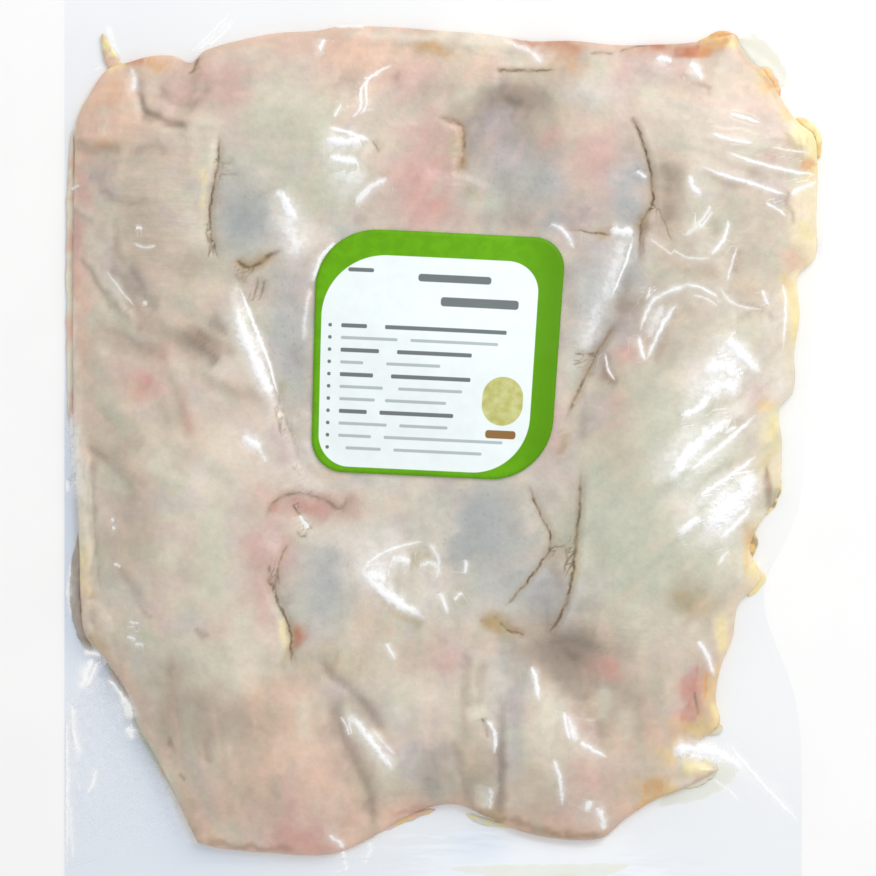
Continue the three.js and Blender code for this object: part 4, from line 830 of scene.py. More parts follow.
def on_level_side(side, share):
    """A place on the top or bottom side: x runs evenly between the corners."""
    x = side[0][0] + (side[-1][0] - side[0][0]) * share
    return np.stack([x, line_through(side, x)], -1)


def on_upright_side(side, share):
    """A place on the left or right side: y runs evenly between the corners."""
    y = side[0][1] + (side[-1][1] - side[0][1]) * share
    return np.stack([line_through([(b, a) for a, b in side], y), y], -1)


def duck_place(u, v):
    """A Coons patch: the two blends between opposite sides, less the blend of the corners."""
    across, up = u[..., None], v[..., None]
    along = on_level_side(BOTTOM_SIDE, u) * (1 - up) + on_level_side(TOP_SIDE, u) * up
    beside = on_upright_side(LEFT_SIDE, v) * (1 - across) + on_upright_side(RIGHT_SIDE, v) * across
    lower = np.array(BOTTOM_SIDE[0]) * (1 - across) + np.array(BOTTOM_SIDE[-1]) * across
    upper = np.array(TOP_SIDE[0]) * (1 - across) + np.array(TOP_SIDE[-1]) * across
    return along + beside - lower * (1 - up) - upper * up


def curve_through(places, steps):
    """A uniform Catmull-Rom curve through places, as steps + 1 points."""
    p = np.array(places, float)
    p = np.vstack([p[:1], p, p[-1:]])
    t = np.linspace(0, len(places) - 1, steps + 1)
    k = np.minimum(t.astype(int), len(places) - 2)
    s = (t - k)[:, None]
    a, b, c, d = p[k], p[k + 1], p[k + 2], p[k + 3]
    bend = (2 * a - 5 * b + 4 * c - d) * s**2 + (3 * b - a - 3 * c + d) * s**3
    return b + 0.5 * ((c - a) * s + bend)


def nearest_on(run, x, y):
    """Distance to a run of points, the side it lies on (+1 left), and the share of the way along."""
    best = np.full(x.shape, np.inf)
    side = np.ones(x.shape)
    share = np.zeros(x.shape)
    for k, (start, stop) in enumerate(zip(run[:-1], run[1:])):
        dx, dy = stop - start
        px, py = x - start[0], y - start[1]
        t = np.clip((px * dx + py * dy) / (dx * dx + dy * dy), 0, 1)
        gap = (px - t * dx) ** 2 + (py - t * dy) ** 2
        nearer = gap < best
        best = np.where(nearer, gap, best)
        side = np.where(nearer, np.where(dx * py - dy * px >= 0, 1.0, -1.0), side)
        share = np.where(nearer, (k + t) / (len(run) - 1), share)
    return np.sqrt(best), side, share


def soft_distance(run, x, y):
    """The distance to a closed run, rounded off where two parts of it are as near as each other."""
    pull = np.zeros(x.shape)
    for start, stop in zip(run[:-1], run[1:]):
        middle = (start + stop) / 2
        gap = (x - middle[0]) ** 2 + (y - middle[1]) ** 2 + 1
        pull += math.hypot(*(stop - start)) / gap**2
    return (pull / (math.pi / 2)) ** (-1 / 3)


def near_run(places, x, y, reach, steps=20):
    """nearest_on for the points within reach of a curve's box: their index and the three values."""
    run = curve_through(places, steps)
    low, high = run.min(0) - reach, run.max(0) + reach
    near = np.nonzero((x > low[0]) & (x < high[0]) & (y > low[1]) & (y < high[1]))
    return (near, *nearest_on(run, x[near], y[near]))


def cloud(x, y, scale, seed):
    """Smooth noise from -1 to 1: random values on a square lattice, blended between its knots."""
    lattice = np.random.default_rng(seed).uniform(-1, 1, (128, 128))
    gx, gy = x / scale + 64, y / scale + 64
    i, j = np.floor(gx).astype(int), np.floor(gy).astype(int)
    s, t = smooth(gx - i), smooth(gy - j)
    low = lattice[i % 128, j % 128] * (1 - s) + lattice[(i + 1) % 128, j % 128] * s
    high = lattice[i % 128, (j + 1) % 128] * (1 - s) + lattice[(i + 1) % 128, (j + 1) % 128] * s
    return low * (1 - t) + high * t


def on_label(x, y):
    """The label's own axes at a place, from its middle."""
    dx, dy = x - LABEL_MIDDLE[0], y - LABEL_MIDDLE[1]
    v = dy * math.cos(LABEL_TURN) - dx * math.sin(LABEL_TURN)
    u = dx * math.cos(LABEL_TURN) + dy * math.sin(LABEL_TURN)
    return u / (1 + LABEL_TAPER * v / (LABEL_SIZE / 2)), v


def fold_share(x, y):
    """How far folds show: none under the label, all of them a little way off."""
    u, v = on_label(x, y)
    return smooth((np.maximum(np.abs(u), np.abs(v)) - LABEL_SIZE / 2) / LABEL_REACH)


def lobe_height(x, y):
    """The sum of the lobes, each a bell of its two half sizes."""
    height = np.zeros(x.shape)
    for middle_x, middle_y, half_x, half_y, rise in LOBES:
        height += rise * np.exp(-(((x - middle_x) / half_x) ** 2) - ((y - middle_y) / half_y) ** 2)
    return height


def lump_height(x, y):
    """Low swellings of the meat: smooth noise at three scales."""
    return 0.45 * cloud(x, y, 17, 3) + 0.2 * cloud(x, y, 8, 4) + 0.06 * cloud(x, y, 3.5, 5)


def fold_height(x, y, widen, deepen):
    """Each fold is a bell-shaped valley, with a step that fades away on both sides of it."""
    height = np.zeros(x.shape)
    for width, depth, lift, _, _, *places in FOLDS:
        near, distance, side, share = near_run(places, x, y, 2 * LIFT_REACH)
        end = smooth(share / FOLD_END) * smooth((1 - share) / FOLD_END)
        valley = deepen * depth * np.exp(-((distance / (widen * width)) ** 2))
        step = 0.55 * lift * side * np.tanh(distance / (1.6 * widen * width)) * np.exp(-((distance / LIFT_REACH) ** 2))
        height[near] += end * (step - valley)
    return height * fold_share(x, y)


def roll_height(x, y):
    """Each roll is a rounded ridge: one less the square of the distance in half widths, squared."""
    height = np.zeros(x.shape)
    for width, rise, *places in ROLLS:
        near, distance, _, share = near_run(places, x, y, width)
        ridge = np.maximum(1 - (distance / width) ** 2, 0) ** 1.5
        height[near] = np.maximum(height[near], rise * ridge * smooth(6 * share) * smooth(6 * (1 - share)))
    return height


def rim_share(inward, soft):
    """A quarter circle over RIM_RADIUS for the thin edge, then a slow rise to the full thickness."""
    short = 1 - np.clip(inward / RIM_RADIUS, 0, 1)
    blend = smooth((inward - 1) / 6)
    slow = 1 - np.exp(-(((inward * (1 - blend) + soft * blend) / RISE_REACH) ** 1.5))
    return RIM_STEP * np.sqrt(1 - short**2) + (1 - RIM_STEP) * slow


def sheet_height(x, y, inward, folds):
    """Height of the film over the meat, from a foot at the outline up over the rounded rim."""
    body = SHEET_THICKNESS - RIM_FOOT + lobe_height(x, y) + lump_height(x, y) + roll_height(x, y) + folds
    return RIM_FOOT + body * rim_share(inward, soft_distance(duck_outline(), x, y))


def duck_outline():
    """The duck's outline as a closed loop of points."""
    share = np.linspace(0, 1, 91)[:-1]
    low, high = np.zeros(90), np.ones(90)
    loop = [duck_place(share, low), duck_place(high, share), duck_place(1 - share, high), duck_place(low, 1 - share)]
    return np.vstack([*loop, loop[0][:1]])


def right_edge(y):
    """The pouch's right-hand edge at a level: a step and a bay drawn in by the vacuum."""
    step = EDGE_STEP["depth"] / (1 + np.exp((y - EDGE_STEP["level"]) / EDGE_STEP["length"]))
    reach = np.where(y > EDGE_BAY["level"], EDGE_BAY["above"], EDGE_BAY["below"])
    bay = EDGE_BAY["depth"] * np.exp(-(((y - EDGE_BAY["level"]) / reach) ** 2))
    return POUCH_HALF[0] - step - bay


def grid_faces(rows, columns, turned=False):
    """Four-sided faces of a grid of points, row after row, facing up, or down if turned."""
    first = (np.arange(rows - 1)[:, None] * columns + np.arange(columns - 1)).ravel()
    faces = np.stack([first, first + 1, first + columns + 1, first + columns], -1)
    return faces[:, ::-1] if turned else faces


def border_of(rows, columns):
    """Indices round a grid's border, counterclockwise seen from above."""
    index = np.arange(rows * columns).reshape(rows, columns)
    return np.concatenate([index[0, :-1], index[:-1, -1], index[-1, :0:-1], index[:0:-1, 0]])


def wall_faces(upper, lower):
    """Four-sided faces between two closed loops, facing away from the loops' middle."""
    return np.stack([upper, lower, np.roll(lower, -1), np.roll(upper, -1)], -1)


def add_mesh(name, points, faces, material, plates=()):
    """Makes a piece from points in millimetres, four-sided faces, and plates with more corners."""
    mesh = bpy.data.meshes.new(name)
    loops = np.concatenate([faces.ravel(), *plates])
    totals = np.array([faces.shape[1]] * len(faces) + [len(plate) for plate in plates])
    starts = np.cumsum(totals) - totals
    mesh.vertices.add(len(points))
    mesh.vertices.foreach_set("co", (points * MM).astype(np.float32).ravel())
    mesh.loops.add(len(loops))
    mesh.loops.foreach_set("vertex_index", loops.astype(np.int32))
    mesh.polygons.add(len(starts))
    mesh.polygons.foreach_set("loop_start", starts.astype(np.int32))
    mesh.polygons.foreach_set("loop_total", totals.astype(np.int32))
    mesh.update(calc_edges=True)
    if mesh.validate(verbose=True):
        raise RuntimeError(f"{name} has faces that don't hold together")
    mesh.shade_smooth()
    mesh.materials.append(material)
    piece = bpy.data.objects.new(name, mesh)
    bpy.context.scene.collection.objects.link(piece)
    return piece


def add_values(piece, name, values):
    """Stores one number, or one colour, for each point of a piece."""
    kind, field = ("FLOAT_COLOR", "color") if values.ndim == 2 else ("FLOAT", "value")
    attribute = piece.data.attributes.new(name, kind, "POINT")
    attribute.data.foreach_set(field, values.astype(np.float32).ravel())


class Tree:
    """Adds and joins shader nodes. An input is given as a number, a colour or another's output."""

    def __init__(self, tree):
        self.tree = tree

    def put(self, kind, inputs=None, **settings):
        """A new node with its settings, and its inputs by name or place."""
        node = self.tree.nodes.new(kind)
        for name, value in settings.items():
            setattr(node, name, value)
        for key, value in (inputs or {}).items():
            if isinstance(value, bpy.types.NodeSocket):
                self.tree.links.new(value, node.inputs[key])
            else:
                node.inputs[key].default_value = value
        return node

    def calc(self, operation, a, b=0.0, c=0.0, clamp=False):
        """One sum of numbers."""
        node = self.put("ShaderNodeMath", {0: a, 1: b, 2: c}, operation=operation, use_clamp=clamp)
        return node.outputs[0]

    def mix(self, factor, a, b, blend="MIX"):
        """One colour blended over another."""
        inputs = {0: factor, 6: a, 7: b}
        return self.put("ShaderNodeMix", inputs, data_type="RGBA", blend_type=blend).outputs[2]

    def span(self, value, low, high, out_low=0.0, out_high=1.0):
        """A value brought from one range to another along a smooth step, held at both ends."""
        inputs = {"Value": value, "From Min": low, "From Max": high, "To Min": out_low, "To Max": out_high}
        return self.put("ShaderNodeMapRange", inputs, interpolation_type="SMOOTHSTEP").outputs[0]

    def value_of(self, name):
        """A piece's own stored number."""
        return self.put("ShaderNodeAttribute", attribute_name=name).outputs["Fac"]

    def millimetres(self, scale=(1, 1, 1)):
        """The piece's coordinates in millimetres, stretched by scale."""
        place = self.put("ShaderNodeTexCoord").outputs["Object"]
        size = tuple(1000 * part for part in scale)
        return self.put("ShaderNodeMapping", {"Vector": place, "Scale": size}).outputs[0]

    def noise(self, vector, scale, detail=2.0, roughness=0.5):
        """Noise from 0 to 1 with so many features a millimetre."""
        inputs = {"Vector": vector, "Scale": scale, "Detail": detail, "Roughness": roughness}
        return self.put("ShaderNodeTexNoise", inputs).outputs[0]


def new_material(name):
    """An empty node material, and the builder of its tree."""
    material = bpy.data.materials.new(name)
    material.use_nodes = True
    material.node_tree.nodes.clear()
    return material, Tree(material.node_tree)


def group(name, inputs, outputs):
    """A new shader node group with named inputs (name, kind, default) and outputs (name, kind)."""
    tree = bpy.data.node_groups.new(name, "ShaderNodeTree")
    for label, kind, default in inputs:
        socket = tree.interface.new_socket(label, in_out="INPUT", socket_type=kind)
        socket.default_value = default
    for label, kind in outputs:
        tree.interface.new_socket(label, in_out="OUTPUT", socket_type=kind)
    nodes = Tree(tree)
    return nodes, nodes.put("NodeGroupInput").outputs, nodes.put("NodeGroupOutput").inputs


def skin_grain():
    """A group: mottled colour, pores and the height of both, in millimetres of the piece."""
    ready = bpy.data.node_groups.get("Skin grain")
    if ready:
        return ready
    nodes, given, result = group(
        "Skin grain",
        [("Tint", "NodeSocketColor", TONES["skin"]), ("Thinness", "NodeSocketFloat", 0.0),
         ("Pore size", "NodeSocketFloat", 0.34), ("Mottle", "NodeSocketFloat", 0.22)],
        [("Color", "NodeSocketColor"), ("Height", "NodeSocketFloat")],
    )
    place = nodes.millimetres()
    fine = nodes.noise(place, 0.5, 3.0, 0.65)
    lighter = nodes.calc("MULTIPLY_ADD", nodes.calc("SUBTRACT", fine, 0.5), given["Mottle"], 1.0)
    grey = nodes.put("ShaderNodeCombineXYZ", {0: lighter, 1: lighter, 2: lighter}).outputs[0]
    colour = nodes.mix(1.0, given["Tint"], grey, "MULTIPLY")
    cells = nodes.put("ShaderNodeTexVoronoi", {"Vector": place, "Scale": given["Pore size"]}).outputs["Distance"]
    dots = nodes.calc("MULTIPLY", nodes.span(cells, 0.3, 0.08), given["Thinness"])
    colour = nodes.mix(nodes.calc("MULTIPLY", dots, 0.3), colour, linear(150, 146, 138))
    height = nodes.calc("MULTIPLY_ADD", nodes.calc("SUBTRACT", fine, 0.5), 0.35, nodes.calc("MULTIPLY", dots, 0.12))
    nodes.tree.links.new(colour, result["Color"])
    nodes.tree.links.new(height, result["Height"])
    return nodes.tree


def skin_material():
    """Raw skin: its stored tint under mottling and pores, painted shade as dark lines in the folds, and a wet sheen."""
    ready = bpy.data.materials.get("duck_skin")
    if ready:
        return ready
    material, nodes = new_material("duck_skin")
    tint = nodes.put("ShaderNodeAttribute", attribute_name="tint").outputs["Color"]
    thin = nodes.value_of("thinness")
    grain = nodes.put("ShaderNodeGroup", node_tree=skin_grain())
    nodes.tree.links.new(tint, grain.inputs["Tint"])
    nodes.tree.links.new(thin, grain.inputs["Thinness"])
    # The fold lines are painted shade: a dark line where the fold is thin and a grey-brown groove where it is wide,
    # with a warm halo beside it. The line also sinks the bump a little.
    wander = nodes.calc("SUBTRACT", nodes.noise(nodes.millimetres(), 0.3, 3.0), 0.5)
    side = nodes.calc("MULTIPLY_ADD", wander, 2.2, nodes.value_of("fold_side"))
    away = nodes.calc("DIVIDE", side, nodes.value_of("fold_width"))
    line = nodes.calc("EXPONENT", nodes.calc("MULTIPLY", nodes.calc("MULTIPLY", away, away), -1.0))
    broken = nodes.span(nodes.noise(nodes.millimetres(), 0.22, 2.0), 0.36, 0.6, 0.45, 1.0)
    line = nodes.calc("MULTIPLY", line, nodes.calc("MULTIPLY", nodes.value_of("fold_power"), broken), clamp=True)
    wide = nodes.span(nodes.value_of("fold_width"), 0.7, 1.3)
    halo = nodes.calc("EXPONENT", nodes.calc("MULTIPLY", nodes.calc("MULTIPLY", away, away), -0.09))
    halo = nodes.calc("MULTIPLY", nodes.calc("MULTIPLY", halo, nodes.value_of("fold_power")), 0.5, clamp=True)
    colour = nodes.mix(halo, grain.outputs["Color"], linear(194, 168, 130))
    colour = nodes.mix(line, colour, nodes.mix(wide, TONES["line"], TONES["groove_shade"]))
    ribbing = nodes.noise(nodes.millimetres((0.12, 1, 1)), 0.42, 2.0, 0.6)
    ribbing = nodes.calc("MULTIPLY", nodes.calc("SUBTRACT", ribbing, 0.5), nodes.value_of("ribbing"))
    colour = nodes.mix(nodes.calc("ABSOLUTE", nodes.calc("MULTIPLY", ribbing, 0.7)), colour, linear(170, 158, 142))
    height = nodes.calc("MULTIPLY_ADD", ribbing, 0.7, grain.outputs["Height"])
    height = nodes.calc("MULTIPLY_ADD", line, -0.5, height)
    bump = nodes.put("ShaderNodeBump", {"Strength": 0.6, "Distance": MM, "Height": height}).outputs[0]
    shader = nodes.put("ShaderNodeBsdfPrincipled", {
        "Base Color": colour, "Roughness": 0.42, "Normal": bump, "Specular IOR Level": 0.35,
    })
    nodes.put("ShaderNodeOutputMaterial", {"Surface": shader.outputs[0]})
    return material


def patch_share(x, y, patch):
    """How strongly a patch colours a place: a bell over its turned half sizes."""
    middle_x, middle_y, half_x, half_y, turn, strength = patch
    angle = math.radians(turn)
    dx, dy = x - middle_x, y - middle_y
    u = (dx * math.cos(angle) + dy * math.sin(angle)) / half_x
    v = (dy * math.cos(angle) - dx * math.sin(angle)) / half_y
    return strength * np.exp(-0.8 * (u * u + v * v) ** 1.25)


def lay_over(tint, tone, share):
    """Blends a tone into an array of colours by a share for each point."""
    tint += (np.array(TONES[tone]) - tint) * np.clip(share, 0, 1)[:, None]


def skin_tint(x, y, inward):
    """The skin's tone under soft noise, a warmer rim, then each patch and stroke at places shifted by noise, some of
    them painted shade and painted light.
    """
    tint = np.tile(np.array(TONES["skin"]), (x.size, 1))
    hue = 0.6 * cloud(x, y, 10, 31) + 0.4 * cloud(x, y, 4.5, 32)
    lay_over(tint, "rose", 0.55 * smooth(hue * 2.4 - 0.1))
    lay_over(tint, "olive", 0.55 * smooth(-hue * 2.4 - 0.1))
    chill = 0.6 * cloud(x, y, 12, 36) + 0.4 * cloud(x, y, 5, 37)
    lay_over(tint, "lilac", 0.5 * smooth(chill * 2 - 0.2))
    lay_over(tint, "pale", 0.5 * smooth(-chill * 2 - 0.3))
    rim = np.exp(-((inward / (5 + 2.5 * cloud(x, y, 9, 38))) ** 2))
    to_right = smooth((x - 95) / 40) * smooth((y + 130) / 60)
    lay_over(tint, "peach", 0.75 * rim * (1 - to_right))
    lay_over(tint, "fat", 0.8 * rim * to_right)
    warped_x = x + 3 * cloud(x, y, 8, 11) + 1.5 * cloud(x, y, 3.2, 12)
    warped_y = y + 3 * cloud(x, y, 8, 13) + 1.5 * cloud(x, y, 3.2, 14)
    thin = np.zeros(x.size)
    for tone, patches in PATCHES.items():
        for patch in patches:
            share = patch_share(warped_x, warped_y, patch)
            lay_over(tint, tone, share)
            if tone in ("thin", "cool"):
                thin = np.maximum(thin, share)
    warped_x = x + 1.2 * cloud(x, y, 4, 15) + 0.5 * cloud(x, y, 1.8, 16)
    warped_y = y + 1.2 * cloud(x, y, 4, 17) + 0.5 * cloud(x, y, 1.8, 18)
    for tone, strokes in STROKES.items():
        for width, strength, *places in strokes:
            near, distance, _, share = near_run(places, warped_x, warped_y, 2.5 * width + 2, 12)
            ends = smooth(share / 0.2 + 0.3) * smooth((1 - share) / 0.2 + 0.3)
            part = tint[near]
            lay_over(part, tone, strength * ends * np.exp(-((distance / width) ** 2)))
            tint[near] = part
    broad = 0.35 * cloud(x, y, 14, 33) + 0.4 * cloud(x, y, 6, 34) + 0.35 * cloud(x, y, 2.4, 35)
    drawn = streaks(x, y)
    lay_over(tint, "peach", 0.22 * smooth(drawn * 1.6 - 0.1))
    lay_over(tint, "olive", 0.3 * smooth(-drawn * 1.6 - 0.1))
    tint[:, :3] *= (1 + 0.14 * broad + 0.1 * drawn)[:, None] * np.array(TINT_BALANCE)
    return tint, thin


# Directions in which the skin is drawn: middle x and y, reach, angle in degrees.
DRAWN = [(-110, -10, 60, -40), (-100, 85, 40, 0), (-85, -145, 45, 98), (-105, -85, 30, -20), (-5, -130, 45, 95), (90, -40, 50, 35),
         (100, 80, 45, -15), (50, -140, 35, 100), (0, 100, 40, 60)]


def streaks(x, y):
    """Noise drawn out along the direction of the nearest part of the skin, from -1 to 1."""
    total, weight = np.zeros(x.size), np.full(x.size, 1e-6)
    for seed, (middle_x, middle_y, reach, angle) in enumerate(DRAWN):
        share = np.exp(-((x - middle_x) ** 2 + (y - middle_y) ** 2) / reach**2)
        turn = math.radians(angle)
        along = x * math.cos(turn) + y * math.sin(turn)
        across = y * math.cos(turn) - x * math.sin(turn)
        total += share * (0.4 * cloud(along / 4, across, 2.2, 40 + seed) + 0.6 * cloud(along / 3, across, 5, 60 + seed))
        weight += share
    return total / weight


def fold_lines(x, y):
    """For each point the signed distance to the nearest fold's line of painted shade, its darkness and half width."""
    side_of = np.full(x.size, 9.0)
    power_of = np.zeros(x.size)
    width_of = np.ones(x.size)
    rows = [(power, width, places) for _, _, _, power, width, *places in FOLDS]
    rows += [(power, width, places) for _, _, power, width, *places in SMALL_FOLDS]
    for power, width, places in rows:
        near, distance, side, share = near_run(places, x, y, 6)
        closer = distance / width < np.abs(side_of[near]) / width_of[near]
        index = near[0][closer]
        ends = smooth(share / 0.18) * smooth((1 - share) / 0.18)
        side_of[index] = (side * distance)[closer]
        power_of[index] = (power * ends * np.exp(-((distance / (3 * width + 1)) ** 2)))[closer]
        width_of[index] = width
    share = fold_share(x, y)
    return side_of, power_of * share, width_of


def painted_fold_shade(x, y):
    """Painted shade beside each fold: it fades away from the line, and is deeper on the lower side; a painted
    highlight, taken off as negative shade, runs along the raised side.
    """
    shade = np.zeros(x.size)
    for width, depth, lift, power, _, *places in FOLDS:
        near, distance, side, share = near_run(places, x, y, 14)
        ends = smooth(share / 0.2) * smooth((1 - share) / 0.2)
        lower = 0.5 - 0.5 * side * np.sign(lift)
        shade[near] += ends * (0.25 + 0.5 * power) * lower * np.exp(-distance / 3.2)
        shade[near] -= ends * 0.3 * (1 - lower) * np.exp(-((distance - 2.5) / 2) ** 2)
    return shade * fold_share(x, y)


def small_fold_height(x, y):
    """Each small fold is a bell-shaped valley."""
    height = np.zeros(x.shape)
    for width, depth, _, _, *places in SMALL_FOLDS:
        near, distance, _, share = near_run(places, x, y, 4 * width)
        ends = smooth(share / FOLD_END) * smooth((1 - share) / FOLD_END)
        height[near] -= ends * depth * np.exp(-((distance / width) ** 2))
    return height * fold_share(x, y)


def even_to_edges(cells, tighten=0.6):
    """Shares from 0 to 1 that crowd towards both ends, for the steep rim."""
    t = np.linspace(0, 1, cells + 1)
    return t - tighten * np.sin(2 * math.pi * t) / (2 * math.pi)


# Rings under the rim: how far in they lie, and their level.
UNDER_RINGS = [(0.15, 1.6), (0.5, 1.0), (1.1, 0.6), (2.0, 0.4)]
UNDER_BAND = 9


def duck_points(gap):
    """The upper side on a grid, the rings of its rim, the underside's rows, and distance inward."""
    columns, rows = DUCK_CELLS
    u, v = np.meshgrid(even_to_edges(columns), even_to_edges(rows))
    plan = duck_place(u, v).reshape(-1, 2)
    x, y = plan[:, 0], plan[:, 1]
    inward = nearest_on(duck_outline(), x, y)[0]
    border = border_of(rows + 1, columns + 1)
    inward[border] = 0
    folds = fold_height(x, y, 0.5, 0.5) + small_fold_height(x, y)
    z = sheet_height(x, y, inward, folds) - gap
    parts = [np.column_stack([x, y, z])]
    size = plan.max(0) - plan.min(0)
    for inset, level in UNDER_RINGS:
        shares = [part.ravel()[border] for part in (u, v)]
        shrunk = [cut + (1 - 2 * cut) * share for cut, share in zip(inset / size, shares)]
        ring = duck_place(*shrunk)
        parts.append(np.column_stack([ring, np.full(len(ring), level)]))
    return np.vstack(parts), border, inward


def make_duck(settings):
    """The duck: its grid, the rings of its rim, and a flat underside."""
    points, border, inward = duck_points(settings.gap / MM)
    columns, rows = DUCK_CELLS
    count = (columns + 1) * (rows + 1)
    faces = [grid_faces(rows + 1, columns + 1)]
    upper = border
    for ring in range(len(UNDER_RINGS)):
        lower = count + ring * len(border) + np.arange(len(border))
        faces.append(wall_faces(upper, lower))
        upper = lower
    cut, level = UNDER_RINGS[-1]
    size = points[:count, :2].max(0) - points[:count, :2].min(0)
    inner_rows = np.arange(UNDER_BAND, rows - UNDER_BAND + 1, UNDER_BAND)
    shares = even_to_edges(rows)[inner_rows]
    u, v = np.meshgrid(np.linspace(0, 1, columns // 4 + 1)[1:-1], shares)
    u, v = (c + (1 - 2 * c) * share for c, share in zip(cut / size, (u, v)))
    field = duck_place(u, v)
    base = len(points)
    wide = field.shape[1]
    points = np.vstack([points, np.column_stack([field.reshape(-1, 2), np.full(wide * len(shares), level)])])
    right = upper[columns:columns + rows + 1]
    left = np.concatenate([upper[2 * columns + rows:], upper[:1]])[::-1]
    low_line, high_line = upper[:columns + 1], upper[columns + rows:2 * columns + rows + 1][::-1]
    bands = []
    edges = [0, *inner_rows, rows]
    for k, (start, stop) in enumerate(zip(edges[:-1], edges[1:])):
        below = low_line if k == 0 else np.r_[left[start], base + (k - 1) * wide + np.arange(wide), right[start]]
        above = high_line if stop == rows else np.r_[left[stop], base + k * wide + np.arange(wide), right[stop]]
        loop = np.concatenate([below, right[start + 1:stop], above[::-1], left[start + 1:stop][::-1]])
        bands.append(loop[::-1])
    piece = add_mesh("duck", points, np.vstack(faces), skin_material(), bands)
    x, y = points[:, 0], points[:, 1]
    inside = np.concatenate([inward, np.zeros(len(points) - count)])
    tint, thin = skin_tint(x, y, inside)
    side, power, width = fold_lines(x, y)
    # Painted shade beside the folds darkens the stored tint, and a painted highlight on their raised sides lightens it.
    soft = 1 - 0.3 * np.clip(painted_fold_shade(x, y), -0.3, 1)
    add_values(piece, "tint", np.column_stack([tint[:, :3] * soft[:, None], tint[:, 3]]))
    add_values(piece, "thinness", thin)
    add_values(piece, "fold_side", side)
    add_values(piece, "fold_power", power)
    add_values(piece, "fold_width", width)
    ribbing = patch_share(x, y, (-112, 62, 26, 34, 0, 1.0))
    ribbing = ribbing + patch_share(x, y, (68, -100, 26, 10, -10, 0.8))
    add_values(piece, "ribbing", settings.ribbing * ribbing)
    return piece


def strip(places, height, level, steps=36, around=20):
    """A flattened tube along a curve: ovals of the half width at each place, pinched at both ends."""
    run = curve_through(places, steps)
    share = np.linspace(0, 1, steps + 1)
    ends = np.sqrt(np.clip(1 - np.abs(2 * share - 1) ** 6, 0.02, 1))
    wobble = 1 + 0.25 * cloud(run[:, 0], run[:, 1], 2.2, 51)
    half = run[:, 2] * ends * wobble
    ahead = np.gradient(run[:, :2], axis=0)
    ahead /= np.maximum(np.hypot(*ahead.T), 1e-9)[:, None]
    angle = np.arange(around) / around * 2 * math.pi
    out = half[:, None] * np.cos(angle)
    x = run[:, 0, None] - ahead[:, 1, None] * out
    y = run[:, 1, None] + ahead[:, 0, None] * out
    z = level + height / 2 * (1 + ends[:, None] * np.sin(angle))
    points = np.stack([x, y, z], -1).reshape(-1, 3)
    index = np.arange(len(points)).reshape(steps + 1, around)
    ring = np.roll(index, -1, 1)
    faces = np.stack([index[:-1], ring[:-1], ring[1:], index[1:]], -1).reshape(-1, 4)
    return points, faces, [index[0][::-1], index[-1]]


def joined(strips):
    """Several strips as one set of points, faces and end plates."""
    base, points, faces, plates = 0, [], [], []
    for part_points, part_faces, part_plates in strips:
        points.append(part_points)
        faces.append(part_faces + base)
        plates += [plate + base for plate in part_plates]
        base += len(part_points)
    return np.vstack(points), np.vstack(faces), plates


def trim_material():
    """Bits of fat and skin: their stored tint under fine mottling, with a wet sheen."""
    material, nodes = new_material("trimmings")
    tint = nodes.put("ShaderNodeAttribute", attribute_name="tint").outputs["Color"]
    grain = nodes.put("ShaderNodeGroup", node_tree=skin_grain())
    nodes.tree.links.new(tint, grain.inputs["Tint"])
    bump = nodes.put("ShaderNodeBump", {"Strength": 0.6, "Distance": MM, "Height": grain.outputs["Height"]}).outputs[0]
    shader = nodes.put("ShaderNodeBsdfPrincipled", {
        "Base Color": grain.outputs["Color"], "Roughness": 0.35, "Normal": bump,
    })
    nodes.put("ShaderNodeOutputMaterial", {"Surface": shader.outputs[0]})
    return material


def make_trimmings():
    """Bits of fat and skin beside the duck, each along its own path in two mingled tones."""
    strips, tones = [], []
    for height, tone, other, *places in TRIMMINGS:
        part = strip(places, height, 0.25)
        strips.append(part)
        x, y = part[0][:, 0], part[0][:, 1]
        tint = np.tile(np.array(TONES[tone]), (len(x), 1))
        lay_over(tint, other, smooth(0.4 + 0.9 * cloud(x, y, 2.4, 52) + 0.6 * cloud(x, y, 1.1, 53)))
        tones.append(tint)
    points, faces, plates = joined(strips)
    piece = add_mesh("trimmings", points, faces, trim_material(), plates)
    add_values(piece, "tint", np.vstack(tones))
    return piece


def juice_material():
    """Thin pale juice: it tints what lies under it, and has a little gloss."""
    material, nodes = new_material("juice")
    patchy = nodes.span(nodes.noise(nodes.millimetres(), 0.12, 2.0), 0.3, 0.7)
    tint = nodes.mix(patchy, (0.999, 0.997, 0.975, 1), (0.996, 0.993, 0.955, 1))
    clear = nodes.put("ShaderNodeBsdfTransparent", {"Color": tint}).outputs[0]
    shine = nodes.put("ShaderNodeBsdfPrincipled", {"Base Color": (0.9, 0.87, 0.72, 1), "Roughness": 0.1}).outputs[0]
    mixed = nodes.put("ShaderNodeMixShader", {0: 0.005, 1: clear, 2: shine}).outputs[0]
    nodes.put("ShaderNodeOutputMaterial", {"Surface": mixed})
    return material


def make_juice(settings):
    """Pools of juice beside the duck, each a flat strip along its own path."""
    points, faces, plates = joined([strip(places, settings.pool_height / MM, 0.2) for places in POOLS])
    return add_mesh("juice", points, faces, juice_material(), plates)


